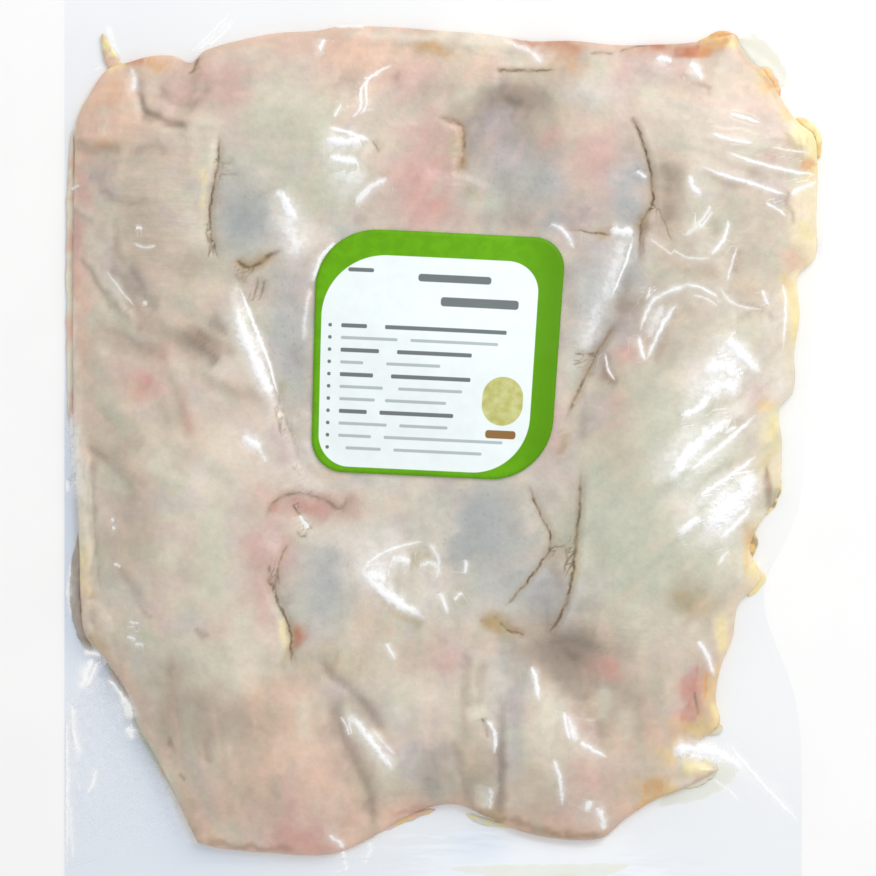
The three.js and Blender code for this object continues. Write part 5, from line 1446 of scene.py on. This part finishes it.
def film_material(settings):
    """Clear film: see-through, glossier at grazing angles, with painted glints that whiten its ribs where it is
    puckered, a painted sheen, and painted shade in its margins.
    """
    material, nodes = new_material("film")
    wander = nodes.calc("SUBTRACT", nodes.noise(nodes.millimetres(), 0.28, 2.0, 0.6), 0.5)
    streak = nodes.noise(nodes.millimetres(), 0.5, 2.0, 0.6)
    patchy = nodes.span(nodes.noise(nodes.millimetres(), 0.35, 1.0), 0.3, 0.6, 0.7, 1.0)
    # Painted highlights: each rib's glint is a white core, body and halo along it, standing in for a reflection.
    glints, ridges = [], []
    for layer in RIB_LAYERS:
        side, power, width = (nodes.value_of(layer + part) for part in ("_side", "_power", "_width"))
        away = nodes.calc("DIVIDE", nodes.calc("MULTIPLY_ADD", wander, nodes.calc("MULTIPLY", width, 1.8), side), width)
        square = nodes.calc("MULTIPLY", away, away)
        rib = nodes.calc("EXPONENT", nodes.calc("MULTIPLY", square, -1.0))
        body = nodes.calc("MULTIPLY", rib, nodes.span(streak, 0.3, 0.6, 0.35, 0.75))
        core = nodes.span(nodes.calc("MULTIPLY", rib, patchy), 0.4, 0.9, 0.0, 0.45)
        halo = nodes.calc("EXPONENT", nodes.calc("MULTIPLY", square, -0.2))
        crisp = nodes.calc("MULTIPLY_ADD", halo, 0.22, nodes.calc("ADD", body, core))
        glints.append(nodes.calc("MULTIPLY", crisp, nodes.calc("POWER", power, 0.8), clamp=True))
        ridges.append(nodes.calc("MULTIPLY", nodes.calc("MULTIPLY", rib, power), width))
    glint = nodes.calc("MAXIMUM", *glints)
    rib = nodes.calc("MAXIMUM", *ridges)
    drawn = nodes.put("ShaderNodeMapping", {"Vector": nodes.millimetres(), "Rotation": (0, 0, 0.6), "Scale": (0.25, 1, 1)})
    pucker = nodes.noise(drawn.outputs[0], 0.3, 1.0, 0.5)
    height = nodes.calc("MULTIPLY_ADD", rib, 0.5, nodes.calc("MULTIPLY", pucker, 0.6))
    bump = nodes.put("ShaderNodeBump", {"Strength": 0.5, "Distance": MM, "Height": height}).outputs[0]
    facing = nodes.put("ShaderNodeLayerWeight", {"Blend": 0.5, "Normal": bump}).outputs["Facing"]
    gloss = nodes.calc("MULTIPLY_ADD", nodes.calc("POWER", facing, 5.0), 0.96, 0.024)
    # Painted sheen: whitish patches standing in for soft reflections.
    sheen = nodes.calc("MULTIPLY", nodes.value_of("sheen"), nodes.span(streak, 0.3, 0.7, 0.55, 1.0))
    soft = nodes.calc("MULTIPLY_ADD", sheen, settings.sheen, gloss)
    share = nodes.calc("MULTIPLY_ADD", glint, settings.glints, soft, clamp=True)
    path = nodes.put("ShaderNodeLightPath").outputs
    passing = nodes.calc("MAXIMUM", path["Is Shadow Ray"], path["Is Diffuse Ray"])
    # Where glints and sheen are painted, the shine turns from a mirror to white diffuse.
    white = nodes.calc("ADD", glint, sheen)
    # The margin tint is painted shade.
    tint = nodes.mix(nodes.value_of("margin"), (0.997, 0.999, 0.998, 1), (*settings.margin, 1))
    clear, passed = (nodes.put("ShaderNodeBsdfTransparent", {"Color": tint}).outputs[0] for _ in range(2))
    shine = nodes.put("ShaderNodeBsdfPrincipled", {
        "Base Color": (0.98, 0.985, 0.99, 1), "Metallic": nodes.span(white, 0.02, 0.12, 1.0, 0.0),
        "Roughness": nodes.calc("MULTIPLY_ADD", glint, 0.25, settings.roughness), "Normal": bump,
    }).outputs[0]
    seen = nodes.put("ShaderNodeMixShader", {0: share, 1: clear, 2: shine}).outputs[0]
    mixed = nodes.put("ShaderNodeMixShader", {0: passing, 1: seen, 2: passed}).outputs[0]
    nodes.put("ShaderNodeOutputMaterial", {"Surface": mixed})
    return material


def rib_values(x, y, ribs):
    """For each point the nearest rib's signed distance, the strength of its painted glint, and half width."""
    side_of = np.full(x.size, 9.0)
    power_of = np.zeros(x.size)
    width_of = np.ones(x.size)
    score = np.zeros(x.size)
    for width, power, *places in ribs:
        near, distance, side, share = near_run(places, x, y, 3 * width + 2, 12)
        ends = smooth(share / 0.25) * smooth((1 - share) / 0.25)
        strength = power * ends * np.exp(-((distance / (2.2 * width + 1)) ** 2))
        taken = strength > score[near]
        index = near[0][taken]
        score[index] = strength[taken]
        side_of[index] = (side * distance)[taken]
        power_of[index] = (power * ends * np.exp(-((distance / (3 * width + 1.5)) ** 4)))[taken]
        width_of[index] = width * (0.45 + 0.55 * ends[taken])
    return side_of, power_of, np.maximum(width_of, 0.3)


def film_levels(edge, end, cells):
    """Levels of the rows from the duck's edge to an end of the pouch: even to the seal, then its band."""
    outer = end * (POUCH_HALF[1] - END_SEAL_INSET)
    inner = outer - end * END_SEAL_WIDTH
    shares = (np.arange(1, cells + 1) / cells) ** 1.25
    rows = [edge + (inner - end * 0.4 - edge) * share for share in shares]
    band = inner + (outer - inner) * np.linspace(0, 1, 8)
    rows += [np.full(edge.shape, level) for level in band]
    rows += [np.full(edge.shape, outer + end * 0.4), np.full(edge.shape, end * (POUCH_HALF[1] - 3))]
    return rows + [np.full(edge.shape, end * POUCH_HALF[1])]


def film_plan():
    """Plan of the pouch as a grid: the duck's patch with margin rows and columns round it."""
    columns, rows = FILM_CELLS
    u, v = np.meshgrid(even_to_edges(columns, 0.4), even_to_edges(rows, 0.4))
    patch = duck_place(u, v)
    lower = film_levels(patch[0, :, 1], -1, 20)[::-1]
    upper = film_levels(patch[-1, :, 1], 1, 40)
    low_rows = np.stack([np.stack([patch[0, :, 0], level], -1) for level in lower])
    high_rows = np.stack([np.stack([patch[-1, :, 0], level], -1) for level in upper])
    plan = np.concatenate([low_rows, patch, high_rows])
    y = plan[:, 0, 1]
    left_edge = np.full(y.shape, -float(POUCH_HALF[0]))
    sides = []
    for edge, column, count in ((left_edge, plan[:, 0], 9), (None, plan[:, -1], 12)):
        level = column[:, 1]
        limit = right_edge(level) if edge is None else edge
        inner = limit - np.sign(limit) * SIDE_SEAL_WIDTH
        shares = [*np.linspace(0, 1, count + 1)[1:]]
        made = [column[:, 0] + (inner - column[:, 0]) * share for share in shares]
        made += [inner + (limit - inner) * share for share in (0.3, 0.7, 1)]
        sides.append([np.stack([across, level], -1) for across in made])
    left = np.stack(sides[0][::-1], 1)
    right = np.stack(sides[1], 1)
    plan = np.concatenate([left, plan, right], 1)
    inside = np.zeros(plan.shape[:2], bool)
    inside[len(lower):len(lower) + rows + 1, left.shape[1]:left.shape[1] + columns + 1] = True
    return plan, inside


def trim_height(x, y):
    """The film's rise over the trimmings: flat over each one's middle, then a bell-shaped fall."""
    height = np.zeros(x.shape)
    for rise, _, _, *places in TRIMMINGS:
        run = curve_through(places, 12)
        reach = run[:, 2].max() + 4
        low, high = run[:, :2].min(0) - reach, run[:, :2].max(0) + reach
        near = np.nonzero((x > low[0]) & (x < high[0]) & (y > low[1]) & (y < high[1]))
        distance = nearest_on(run[:, :2], x[near], y[near])[0]
        past = np.maximum(distance - 0.6 * reach + 2.4, 0)
        height[near] = np.maximum(height[near], rise * np.exp(-((past / 1.4) ** 2)))
    return height


def margin_height(x, y, outward):
    """The film outside the duck: it falls from its foot to the margin, and is thinner in the seals."""
    height = MARGIN_THICKNESS + (RIM_FOOT - MARGIN_THICKNESS) * np.exp(-outward / TENT_LENGTH)
    ripple = 0.3 * cloud(x, y, 16, 21)
    height += ripple * smooth(outward / 6) + trim_height(x, y)
    from_end = POUCH_HALF[1] - np.abs(y)
    in_band = (from_end > END_SEAL_INSET - 0.1) & (from_end < END_SEAL_INSET + END_SEAL_WIDTH + 0.1)
    crimp = 0.12 * np.cos((from_end - END_SEAL_INSET) * 2 * math.pi / 1.0)
    height = np.where(in_band, SEAL_THICKNESS + crimp, height)
    from_side = np.minimum(x + POUCH_HALF[0], right_edge(y) - x)
    return np.where(from_side < SIDE_SEAL_WIDTH - 0.1, SEAL_THICKNESS, height)


def film_height(x, y, inside):
    """Height of the film at any place of the pouch."""
    distance = nearest_on(duck_outline(), x, y)[0]
    over = sheet_height(x, y, distance, fold_height(x, y, 0.8, 0.2))
    beside = margin_height(x, y, distance)
    return np.where(inside, over, beside), distance


def rib_height(x, y):
    """Ribs wide enough for the mesh stand up as rounded ridges."""
    height = np.zeros(x.shape)
    for width, power, *places in RIBS:
        if width < 0.9:
            continue
        near, distance, _, share = near_run(places, x, y, 3 * width, 12)
        ends = smooth(share / 0.25) * smooth((1 - share) / 0.25)
        height[near] += 0.4 * min(width, 2.5) * power * ends * np.exp(-((distance / width) ** 2))
    return height


def make_film(settings):
    """The film: its upper sheet on a grid, a wall at the pouch's edge, and a flat underside."""
    plan, inside = film_plan()
    rows, columns = inside.shape
    x, y = plan[..., 0].ravel(), plan[..., 1].ravel()
    inside = inside.ravel()
    z, distance = film_height(x, y, inside)
    z = z + rib_height(x, y) * smooth((POUCH_HALF[0] - np.abs(x)) / 3)
    border = border_of(rows, columns)
    foot = np.column_stack([x[border], y[border], np.full(len(border), FILM_UNDERSIDE)])
    points = np.vstack([np.column_stack([x, y, z]), foot])
    lower = len(x) + np.arange(len(border))
    faces = np.vstack([grid_faces(rows, columns), wall_faces(border, lower)])
    piece = add_mesh("film", points, faces, film_material(settings), [lower[::-1]])
    # Each rib's painted glint is stored in one of two layers.
    for start, layer in enumerate(RIB_LAYERS):
        side, power, width = rib_values(points[:, 0], points[:, 1], RIBS[start::len(RIB_LAYERS)])
        add_values(piece, layer + "_side", side)
        add_values(piece, layer + "_power", power)
        add_values(piece, layer + "_width", width)
    # Painted sheen, in patches broken up by streaks.
    warped_x = points[:, 0] + 2.5 * cloud(points[:, 0], points[:, 1], 6, 24)
    warped_y = points[:, 1] + 2.5 * cloud(points[:, 0], points[:, 1], 6, 25)
    sheen = 1.08 * np.maximum(sum(patch_share(warped_x, warped_y, patch) for patch in SHEENS) - 0.07, 0)
    drawn = 0.55 + 1.1 * streaks(points[:, 0], points[:, 1])
    add_values(piece, "sheen", np.clip(sheen, 0, 1) * np.clip(drawn, 0, 1))
    # Painted shade in the margins: darker and bluer towards the lower left, with a painted shadow beside the duck's
    # lower-left edge and darker patches at the left edge and at the bottom middle.
    low = np.clip(0.32 - 0.34 * x / POUCH_HALF[0] - 0.38 * y / POUCH_HALF[1] - 0.1 * cloud(x, y, 30, 23), 0, 1)
    beside = 0.6 * np.exp(-distance / 6) * smooth((-x - 60) / 60) * smooth((20 - y) / 60)
    beside += patch_share(x, y, (-148, -60, 3.5, 40, 0, 0.15)) + patch_share(x, y, (14, -184, 10, 6, 0, 0.25))
    low = np.where(inside, 0.03, 0.66 * low * smooth(distance / 3) + 1.6 * beside)
    add_values(piece, "margin", np.concatenate([low, np.zeros(len(border))]))
    return piece


def label_place(s, t):
    """A place on the label from axes of -1 to 1: rings of the square become rings of round corners."""
    half = LABEL_SIZE / 2
    upper = np.where(s > 0, LABEL_RADII["upper_right"], LABEL_RADII["upper_left"])
    lower = np.where(s > 0, LABEL_RADII["lower_right"], LABEL_RADII["lower_left"])
    radius = np.where(t > 0, upper, lower)
    u, v = s * half, t * half
    past_u, past_v = np.abs(u) - (half - radius), np.abs(v) - (half - radius)
    corner = (past_u > 0) & (past_v > 0)
    shrink = np.maximum(past_u, past_v) / np.maximum(np.hypot(past_u, past_v), 1e-9)
    u = np.where(corner, np.sign(u) * (half - radius + past_u * shrink), u)
    v = np.where(corner, np.sign(v) * (half - radius + past_v * shrink), v)
    wide = u * (1 + LABEL_TAPER * v / half)
    x = LABEL_MIDDLE[0] + wide * math.cos(LABEL_TURN) - v * math.sin(LABEL_TURN)
    y = LABEL_MIDDLE[1] + wide * math.sin(LABEL_TURN) + v * math.cos(LABEL_TURN)
    return x, y, u, v


def patch_mask():
    """A group: 1 inside a rectangle with one rounding, by the distance to its rounded outline."""
    ready = bpy.data.node_groups.get("Round-cornered patch")
    if ready:
        return ready
    nodes, given, result = group(
        "Round-cornered patch",
        [("Place", "NodeSocketVector", (0, 0, 0)), ("Middle", "NodeSocketVector", (0, 0, 0)),
         ("Half width", "NodeSocketFloat", 10.0), ("Half height", "NodeSocketFloat", 10.0),
         ("Rounding", "NodeSocketFloat", 1.0)],
        [("Mask", "NodeSocketFloat")],
    )
    offset = nodes.put("ShaderNodeVectorMath", {0: given["Place"], 1: given["Middle"]}, operation="SUBTRACT")
    axes = nodes.put("ShaderNodeSeparateXYZ", {0: offset.outputs[0]}).outputs
    past = []
    for axis, half in ((axes[0], given["Half width"]), (axes[1], given["Half height"])):
        inner = nodes.calc("SUBTRACT", half, given["Rounding"])
        past.append(nodes.calc("SUBTRACT", nodes.calc("ABSOLUTE", axis), inner))
    outer = [nodes.calc("MAXIMUM", part, 0.0) for part in past]
    squares = [nodes.calc("MULTIPLY", part, part) for part in outer]
    reach = nodes.calc("SQRT", nodes.calc("ADD", *squares))
    inner = nodes.calc("MINIMUM", nodes.calc("MAXIMUM", *past), 0.0)
    edge = nodes.calc("SUBTRACT", nodes.calc("ADD", reach, inner), given["Rounding"])
    mask = nodes.put("ShaderNodeMapRange", {
        "Value": edge, "From Min": 0.12, "From Max": -0.12, "To Min": 0.0, "To Max": 1.0,
    }).outputs[0]
    nodes.tree.links.new(mask, result["Mask"])
    return nodes.tree


# Print on the label: bars and dots of one colour each, as middle x and y, half width, half height.
HEAD_BARS = [(-30, 31.5, 5, 0.8), (6, 29.5, 14, 1.5), (16, 20.5, 15, 1.8)]
ROW_TOP = 9.6
ROW_STEP = 4.75
# Rows of the print: start and end of each bar, and whether the row is heavy.
PRINT_ROWS = [
    ((-37, -27), (-20, 27), 1), ((-37, -15), (-10, 24), 0), ((-37, -22), (-15, 14), 1),
    ((-37, -28), (-19, 2), 0), ((-37, -24), (-17, 14), 1), ((-37, -20), (-14, 11), 0),
    ((-37, -23), (-19, 5), 0), ((-37, -26), (-21, 8), 1), ((-37, -18), (-13, 6), 0),
    ((-37, -24), (-19, 28), 0), ((-34, -20), (-15, 20), 0),
]


def label_material(settings):
    """Glossy paper label: a green border, a white panel with four roundings, and printed bars."""
    material, nodes = new_material("label_paper")
    uv = nodes.put("ShaderNodeUVMap", uv_map="print").outputs[0]
    scaled = nodes.put("ShaderNodeVectorMath", {0: uv, 1: (LABEL_SIZE,) * 3}, operation="MULTIPLY").outputs[0]
    place = nodes.put("ShaderNodeVectorMath", {0: scaled, 1: (LABEL_SIZE / 2,) * 3}, operation="SUBTRACT").outputs[0]

    def patch(middle, half_width, half_height, rounding):
        node = nodes.put("ShaderNodeGroup", node_tree=patch_mask())
        nodes.tree.links.new(place, node.inputs["Place"])
        node.inputs["Middle"].default_value = (*middle, 0)
        node.inputs["Half width"].default_value = half_width
        node.inputs["Half height"].default_value = half_height
        node.inputs["Rounding"].default_value = rounding
        return node.outputs["Mask"]

    # The panel is what four patches share, each of them with the rounding of one corner.
    left, right, low, high = -44.8, 38.2, -45.2, 37.6
    panel = None
    for corner_x, corner_y, rounding in ((-1, 1, 25), (1, 1, 12), (1, -1, 22), (-1, -1, 12)):
        x_range = (left, right + 60) if corner_x < 0 else (left - 60, right)
        y_range = (low - 60, high) if corner_y > 0 else (low, high + 60)
        middle = (sum(x_range) / 2, sum(y_range) / 2)
        mask = patch(middle, (x_range[1] - x_range[0]) / 2, (y_range[1] - y_range[0]) / 2, rounding)
        panel = mask if panel is None else nodes.calc("MINIMUM", panel, mask)
    worn = nodes.noise(nodes.millimetres(), 0.25, 3.0)
    green = nodes.mix(nodes.span(worn, 0.35, 0.65), shaded(settings.border, 0.94), shaded(settings.border, 1.06))
    across = nodes.put("ShaderNodeSeparateXYZ", {0: place}).outputs[0]
    green = nodes.mix(nodes.span(across, 28.0, 47.0), green, shaded(settings.border, 0.76))
    white = nodes.mix(nodes.span(worn, 0.3, 0.7), shaded(settings.panel, 0.98), shaded(settings.panel, 1.01))
    colour = nodes.mix(panel, green, white)
    inks = [None, None]

    def print_bar(heavy, *bar):
        mask = patch(*bar)
        inks[heavy] = mask if inks[heavy] is None else nodes.calc("MAXIMUM", inks[heavy], mask)

    for x, y, half_width, half_height in HEAD_BARS:
        print_bar(1, (x, y), half_width, half_height, min(half_height, 1.2))
    for row, (name_bar, value_bar, heavy) in enumerate(PRINT_ROWS):
        y = ROW_TOP - row * ROW_STEP
        half = 0.8 if heavy else 0.6
        print_bar(1, (-41.3, y), 0.7, 0.7, 0.6)
        for start, end in (name_bar, value_bar):
            print_bar(heavy, ((start + end) / 2, y), (end - start) / 2, half, 0.5)
    for ink, share, tone in ((inks[0], 0.6, shaded(settings.ink, 4)), (inks[1], 0.85, shaded(settings.ink, 1))):
        colour = nodes.mix(nodes.calc("MULTIPLY", ink, share), colour, tone)
    sun = patch((27, -17), 8, 9.5, 8)
    colour = nodes.mix(sun, colour, nodes.mix(nodes.span(worn, 0.3, 0.7), linear(190, 190, 110), linear(214, 214, 150)))
    foot = patch((27, -30), 6, 1.6, 1.2)
    colour = nodes.mix(foot, colour, linear(150, 112, 66))
    fibre = nodes.noise(nodes.millimetres(), 1.2, 3.0)
    bump = nodes.put("ShaderNodeBump", {"Strength": 0.25, "Distance": 0.2 * MM, "Height": fibre}).outputs[0]
    shader = nodes.put("ShaderNodeBsdfPrincipled", {"Base Color": colour, "Roughness": 0.4, "Normal": bump, "Specular IOR Level": 0.15})
    nodes.put("ShaderNodeOutputMaterial", {"Surface": shader.outputs[0]})
    return material


def make_label(settings):
    """The label: a thin sheet of paper that lies on the film, with its print by UV."""
    side = LABEL_CELLS + 1
    s, t = np.meshgrid(np.linspace(-1, 1, side), np.linspace(-1, 1, side))
    x, y, u, v = (part.ravel() for part in label_place(s, t))
    inward = nearest_on(duck_outline(), x, y)[0]
    z = sheet_height(x, y, inward, fold_height(x, y, 0.8, 0.2)) + LABEL_RISE
    lower = np.column_stack([x, y, z])
    points = np.vstack([lower, lower + np.array([0, 0, settings.paper / MM])])
    count = len(lower)
    border = border_of(side, side)
    faces = [grid_faces(side, side, turned=True), grid_faces(side, side) + count]
    faces.append(wall_faces(border + count, border))
    piece = add_mesh("label_sheet", points, np.vstack(faces), label_material(settings))
    layer = piece.data.uv_layers.new(name="print")
    loops = np.empty(len(piece.data.loops), np.int32)
    piece.data.loops.foreach_get("vertex_index", loops)
    flat = np.column_stack([u, v]) / LABEL_SIZE + 0.5
    layer.data.foreach_set("uv", np.vstack([flat, flat])[loops].astype(np.float32).ravel())
    return piece


def finish_piece(piece, slot, *nodes):
    """Puts a piece on the frame: it rides on the root and stands for its nodes; the slot is not used."""
    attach(piece, "root")
    if nodes:
        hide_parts(*nodes)


# Stage
CAMERA_PLACE = (-3.1, -24)
CAMERA_HEIGHT = 1200
VIEW_WIDTH = 342.2
VIEW_LEVEL = 9
SENSOR = 36


def add_light(name, place, size, power, aim, colour=(1, 1, 1)):
    """A square soft light at a place, in metres, turned to a point."""
    data = bpy.data.lights.new(name, "AREA")
    data.shape = "SQUARE"
    data.size = size
    data.energy = power
    data.color = colour
    light = bpy.data.objects.new(name, data)
    light.location = place
    bpy.context.scene.collection.objects.link(light)
    away = np.array(place) - np.array(aim)
    turn = math.atan2(away[1], away[0])
    light.rotation_euler = (0, math.atan2(math.hypot(away[0], away[1]), away[2]), turn)
    return light


def make_stage(settings):
    """The floor, the lights, the sky and a camera that looks straight down."""
    reach = 6000
    corners = np.array([(-reach, -reach, 0), (reach, -reach, 0), (reach, reach, 0), (-reach, reach, 0)], float)
    material, nodes = new_material("floor")
    grain = nodes.noise(nodes.millimetres(), 0.02, 2.0)
    tone = nodes.mix(nodes.span(grain, 0.3, 0.7), (0.96, 0.96, 0.96, 1), (0.98, 0.98, 0.98, 1))
    shader = nodes.put("ShaderNodeBsdfPrincipled", {"Base Color": tone, "Roughness": 0.9, "Specular IOR Level": 0.1})
    nodes.put("ShaderNodeOutputMaterial", {"Surface": shader.outputs[0]})
    floor = add_mesh("floor", corners, np.array([[0, 1, 2, 3]]), material)
    world = bpy.data.worlds.new("sky")
    world.use_nodes = True
    world.node_tree.nodes["Background"].inputs["Color"].default_value = (1, 1, 1, 1)
    world.node_tree.nodes["Background"].inputs["Strength"].default_value = settings.sky_strength
    bpy.context.scene.world = world
    add_light("key", (0.75, 0.85, 0.95), 0.9, settings.key_power, (0, -0.02, 0))
    data = bpy.data.cameras.new("camera")
    data.sensor_width = SENSOR
    data.lens = SENSOR * (CAMERA_HEIGHT - VIEW_LEVEL) * MM / settings.view_width
    camera = bpy.data.objects.new("camera", data)
    camera.location = (CAMERA_PLACE[0] * MM, CAMERA_PLACE[1] * MM, CAMERA_HEIGHT * MM)
    bpy.context.scene.collection.objects.link(camera)
    bpy.context.scene.camera = camera
    bpy.context.scene.view_settings.view_transform = "Standard"


def skin_colour(name):
    """The default of a colour field: one of the skin's tones."""
    return TONES[name][:3]


def use_skin_colours(settings):
    """Puts the chosen colours of the duck among the tones."""
    for name, colour in (("skin", settings.skin), ("thin", settings.lean), ("fat", settings.fat)):
        TONES[name] = shaded(colour, 1)


class DuckSettings(bpy.types.PropertyGroup):
    """Colours and sizes of the duck and its juice."""
    skin: bpy.props.FloatVectorProperty(
        name="Skin", description="Main colour of the skin", subtype="COLOR", size=3, min=0, max=1,
        default=skin_colour("skin"))
    lean: bpy.props.FloatVectorProperty(
        name="Lean", description="Colour where the meat shows through thin skin", subtype="COLOR", size=3, min=0,
        max=1, default=skin_colour("thin"))
    fat: bpy.props.FloatVectorProperty(
        name="Fat", description="Colour of the fat at the right rim", subtype="COLOR", size=3, min=0, max=1,
        default=skin_colour("fat"))
    ribbing: bpy.props.FloatProperty(
        name="Ribbing", description="Height of the fine ribs in the skin, as a share of the usual", default=1.0,
        min=0.0, max=2.0, subtype="FACTOR")
    gap: bpy.props.FloatProperty(
        name="Gap", description="Space between the duck and the film", default=FILM_GAP * MM, min=0.0002,
        max=0.001, precision=5, unit="LENGTH")
    pool_height: bpy.props.FloatProperty(
        name="Juice", description="Height of the pools of juice", default=POOL_HEIGHT * MM, min=0.0001,
        max=0.0006, precision=5, unit="LENGTH")


class FilmSettings(bpy.types.PropertyGroup):
    """Sizes and looks of the clear film."""
    roughness: bpy.props.FloatProperty(
        name="Roughness", description="Roughness of the film's gloss", default=0.2, min=0.02, max=0.6,
        subtype="FACTOR")
    # Glints and sheen are painted highlights on the film.
    glints: bpy.props.FloatProperty(
        name="Glints", description="Strength of the white glints on puckers", default=0.85, min=0.0, max=1.0,
        subtype="FACTOR")
    sheen: bpy.props.FloatProperty(
        name="Sheen", description="Strength of the soft sheen on fine puckers", default=0.75, min=0.0, max=1.0,
        subtype="FACTOR")
    # The margin colour is the painted shade laid over the film's margins.
    margin: bpy.props.FloatVectorProperty(
        name="Margin", description="Tint of the film in the pouch's margins", subtype="COLOR", size=3, min=0,
        max=1, default=(0.84, 0.88, 0.94))


class LabelSettings(bpy.types.PropertyGroup):
    """Sizes and colours of the label."""
    paper: bpy.props.FloatProperty(
        name="Paper", description="Thickness of the label", default=LABEL_PAPER * MM, min=0.00005, max=0.0004,
        precision=5, unit="LENGTH")
    border: bpy.props.FloatVectorProperty(
        name="Border", description="Colour of the label's border", subtype="COLOR", size=3, min=0, max=1,
        default=linear(104, 172, 14)[:3])
    panel: bpy.props.FloatVectorProperty(
        name="Panel", description="Colour of the label's panel", subtype="COLOR", size=3, min=0, max=1,
        default=linear(243, 252, 252)[:3])
    ink: bpy.props.FloatVectorProperty(
        name="Ink", description="Colour of the printed bars", subtype="COLOR", size=3, min=0, max=1,
        default=linear(66, 74, 76)[:3])


class StageSettings(bpy.types.PropertyGroup):
    """Light, floor and camera of the picture."""
    key_power: bpy.props.FloatProperty(
        name="Key light", description="Power of the soft light from the upper right", default=10.5, min=0.0,
        unit="POWER")
    sky_strength: bpy.props.FloatProperty(
        name="Sky", description="Strength of the even light from all round", default=0.74, min=0.0)
    view_width: bpy.props.FloatProperty(
        name="View width", description="Width of the picture on top of the duck", default=VIEW_WIDTH * MM,
        min=0.1, max=1.0, unit="LENGTH")


class PACK_OT_duck(bpy.types.Operator):
    """Make the duck, spread flat with its skin up"""
    bl_idname = "pack.duck"
    bl_label = "Duck"

    def execute(self, context):
        use_skin_colours(context.scene.pack_duck)
        finish_piece(make_duck(context.scene.pack_duck), "film", "sealed_bag")
        return {"FINISHED"}


class PACK_OT_scraps(bpy.types.Operator):
    """Make the bits of fat and the juice beside the duck"""
    bl_idname = "pack.scraps"
    bl_label = "Trimmings and juice"

    def execute(self, context):
        finish_piece(make_trimmings(), "film", "sealed_bag")
        finish_piece(make_juice(context.scene.pack_duck), "film", "sealed_bag")
        return {"FINISHED"}


class PACK_OT_film(bpy.types.Operator):
    """Make the clear film, drawn down over the duck and sealed at both ends"""
    bl_idname = "pack.film"
    bl_label = "Film"

    def execute(self, context):
        finish_piece(make_film(context.scene.pack_film), "film", "sealed_bag")
        return {"FINISHED"}


class PACK_OT_label(bpy.types.Operator):
    """Make the square label on the film"""
    bl_idname = "pack.label"
    bl_label = "Label"

    def execute(self, context):
        finish_piece(make_label(context.scene.pack_label), "label_paper", "label")
        return {"FINISHED"}


class PACK_OT_stage(bpy.types.Operator):
    """Make the floor, the light and the camera"""
    bl_idname = "pack.stage"
    bl_label = "Stage"

    def execute(self, context):
        make_stage(context.scene.pack_stage)
        return {"FINISHED"}


class PACK_PT_panel(bpy.types.Panel):
    """The pieces of the pack and the stage"""
    bl_idname = "PACK_PT_panel"
    bl_label = "Vacuum-packed duck"
    bl_space_type = "VIEW_3D"
    bl_region_type = "UI"
    bl_category = "Duck"

    def draw(self, context):
        for name, kind in SETTINGS.items():
            box = self.layout.box()
            for field in kind.__annotations__:
                box.prop(getattr(context.scene, name), field)
        for operator in OPERATORS:
            self.layout.operator(operator.bl_idname)


OPERATORS = (PACK_OT_duck, PACK_OT_scraps, PACK_OT_film, PACK_OT_label, PACK_OT_stage)
SETTINGS = {
    "pack_duck": DuckSettings, "pack_film": FilmSettings, "pack_label": LabelSettings, "pack_stage": StageSettings,
}
CLASSES = (*SETTINGS.values(), *OPERATORS, PACK_PT_panel)


def register():
    """Adds the add-on's classes and its settings."""
    for kind in CLASSES:
        bpy.utils.register_class(kind)
    for name, kind in SETTINGS.items():
        setattr(bpy.types.Scene, name, bpy.props.PointerProperty(type=kind))


def unregister():
    """Takes them away again."""
    for name in SETTINGS:
        delattr(bpy.types.Scene, name)
    for kind in reversed(CLASSES):
        bpy.utils.unregister_class(kind)


def main():
    """Makes every piece and the stage."""
    register()
    bpy.ops.pack.duck()
    bpy.ops.pack.scraps()
    bpy.ops.pack.film()
    bpy.ops.pack.label()
    bpy.ops.pack.stage()


if __name__ == "__main__":
    main()
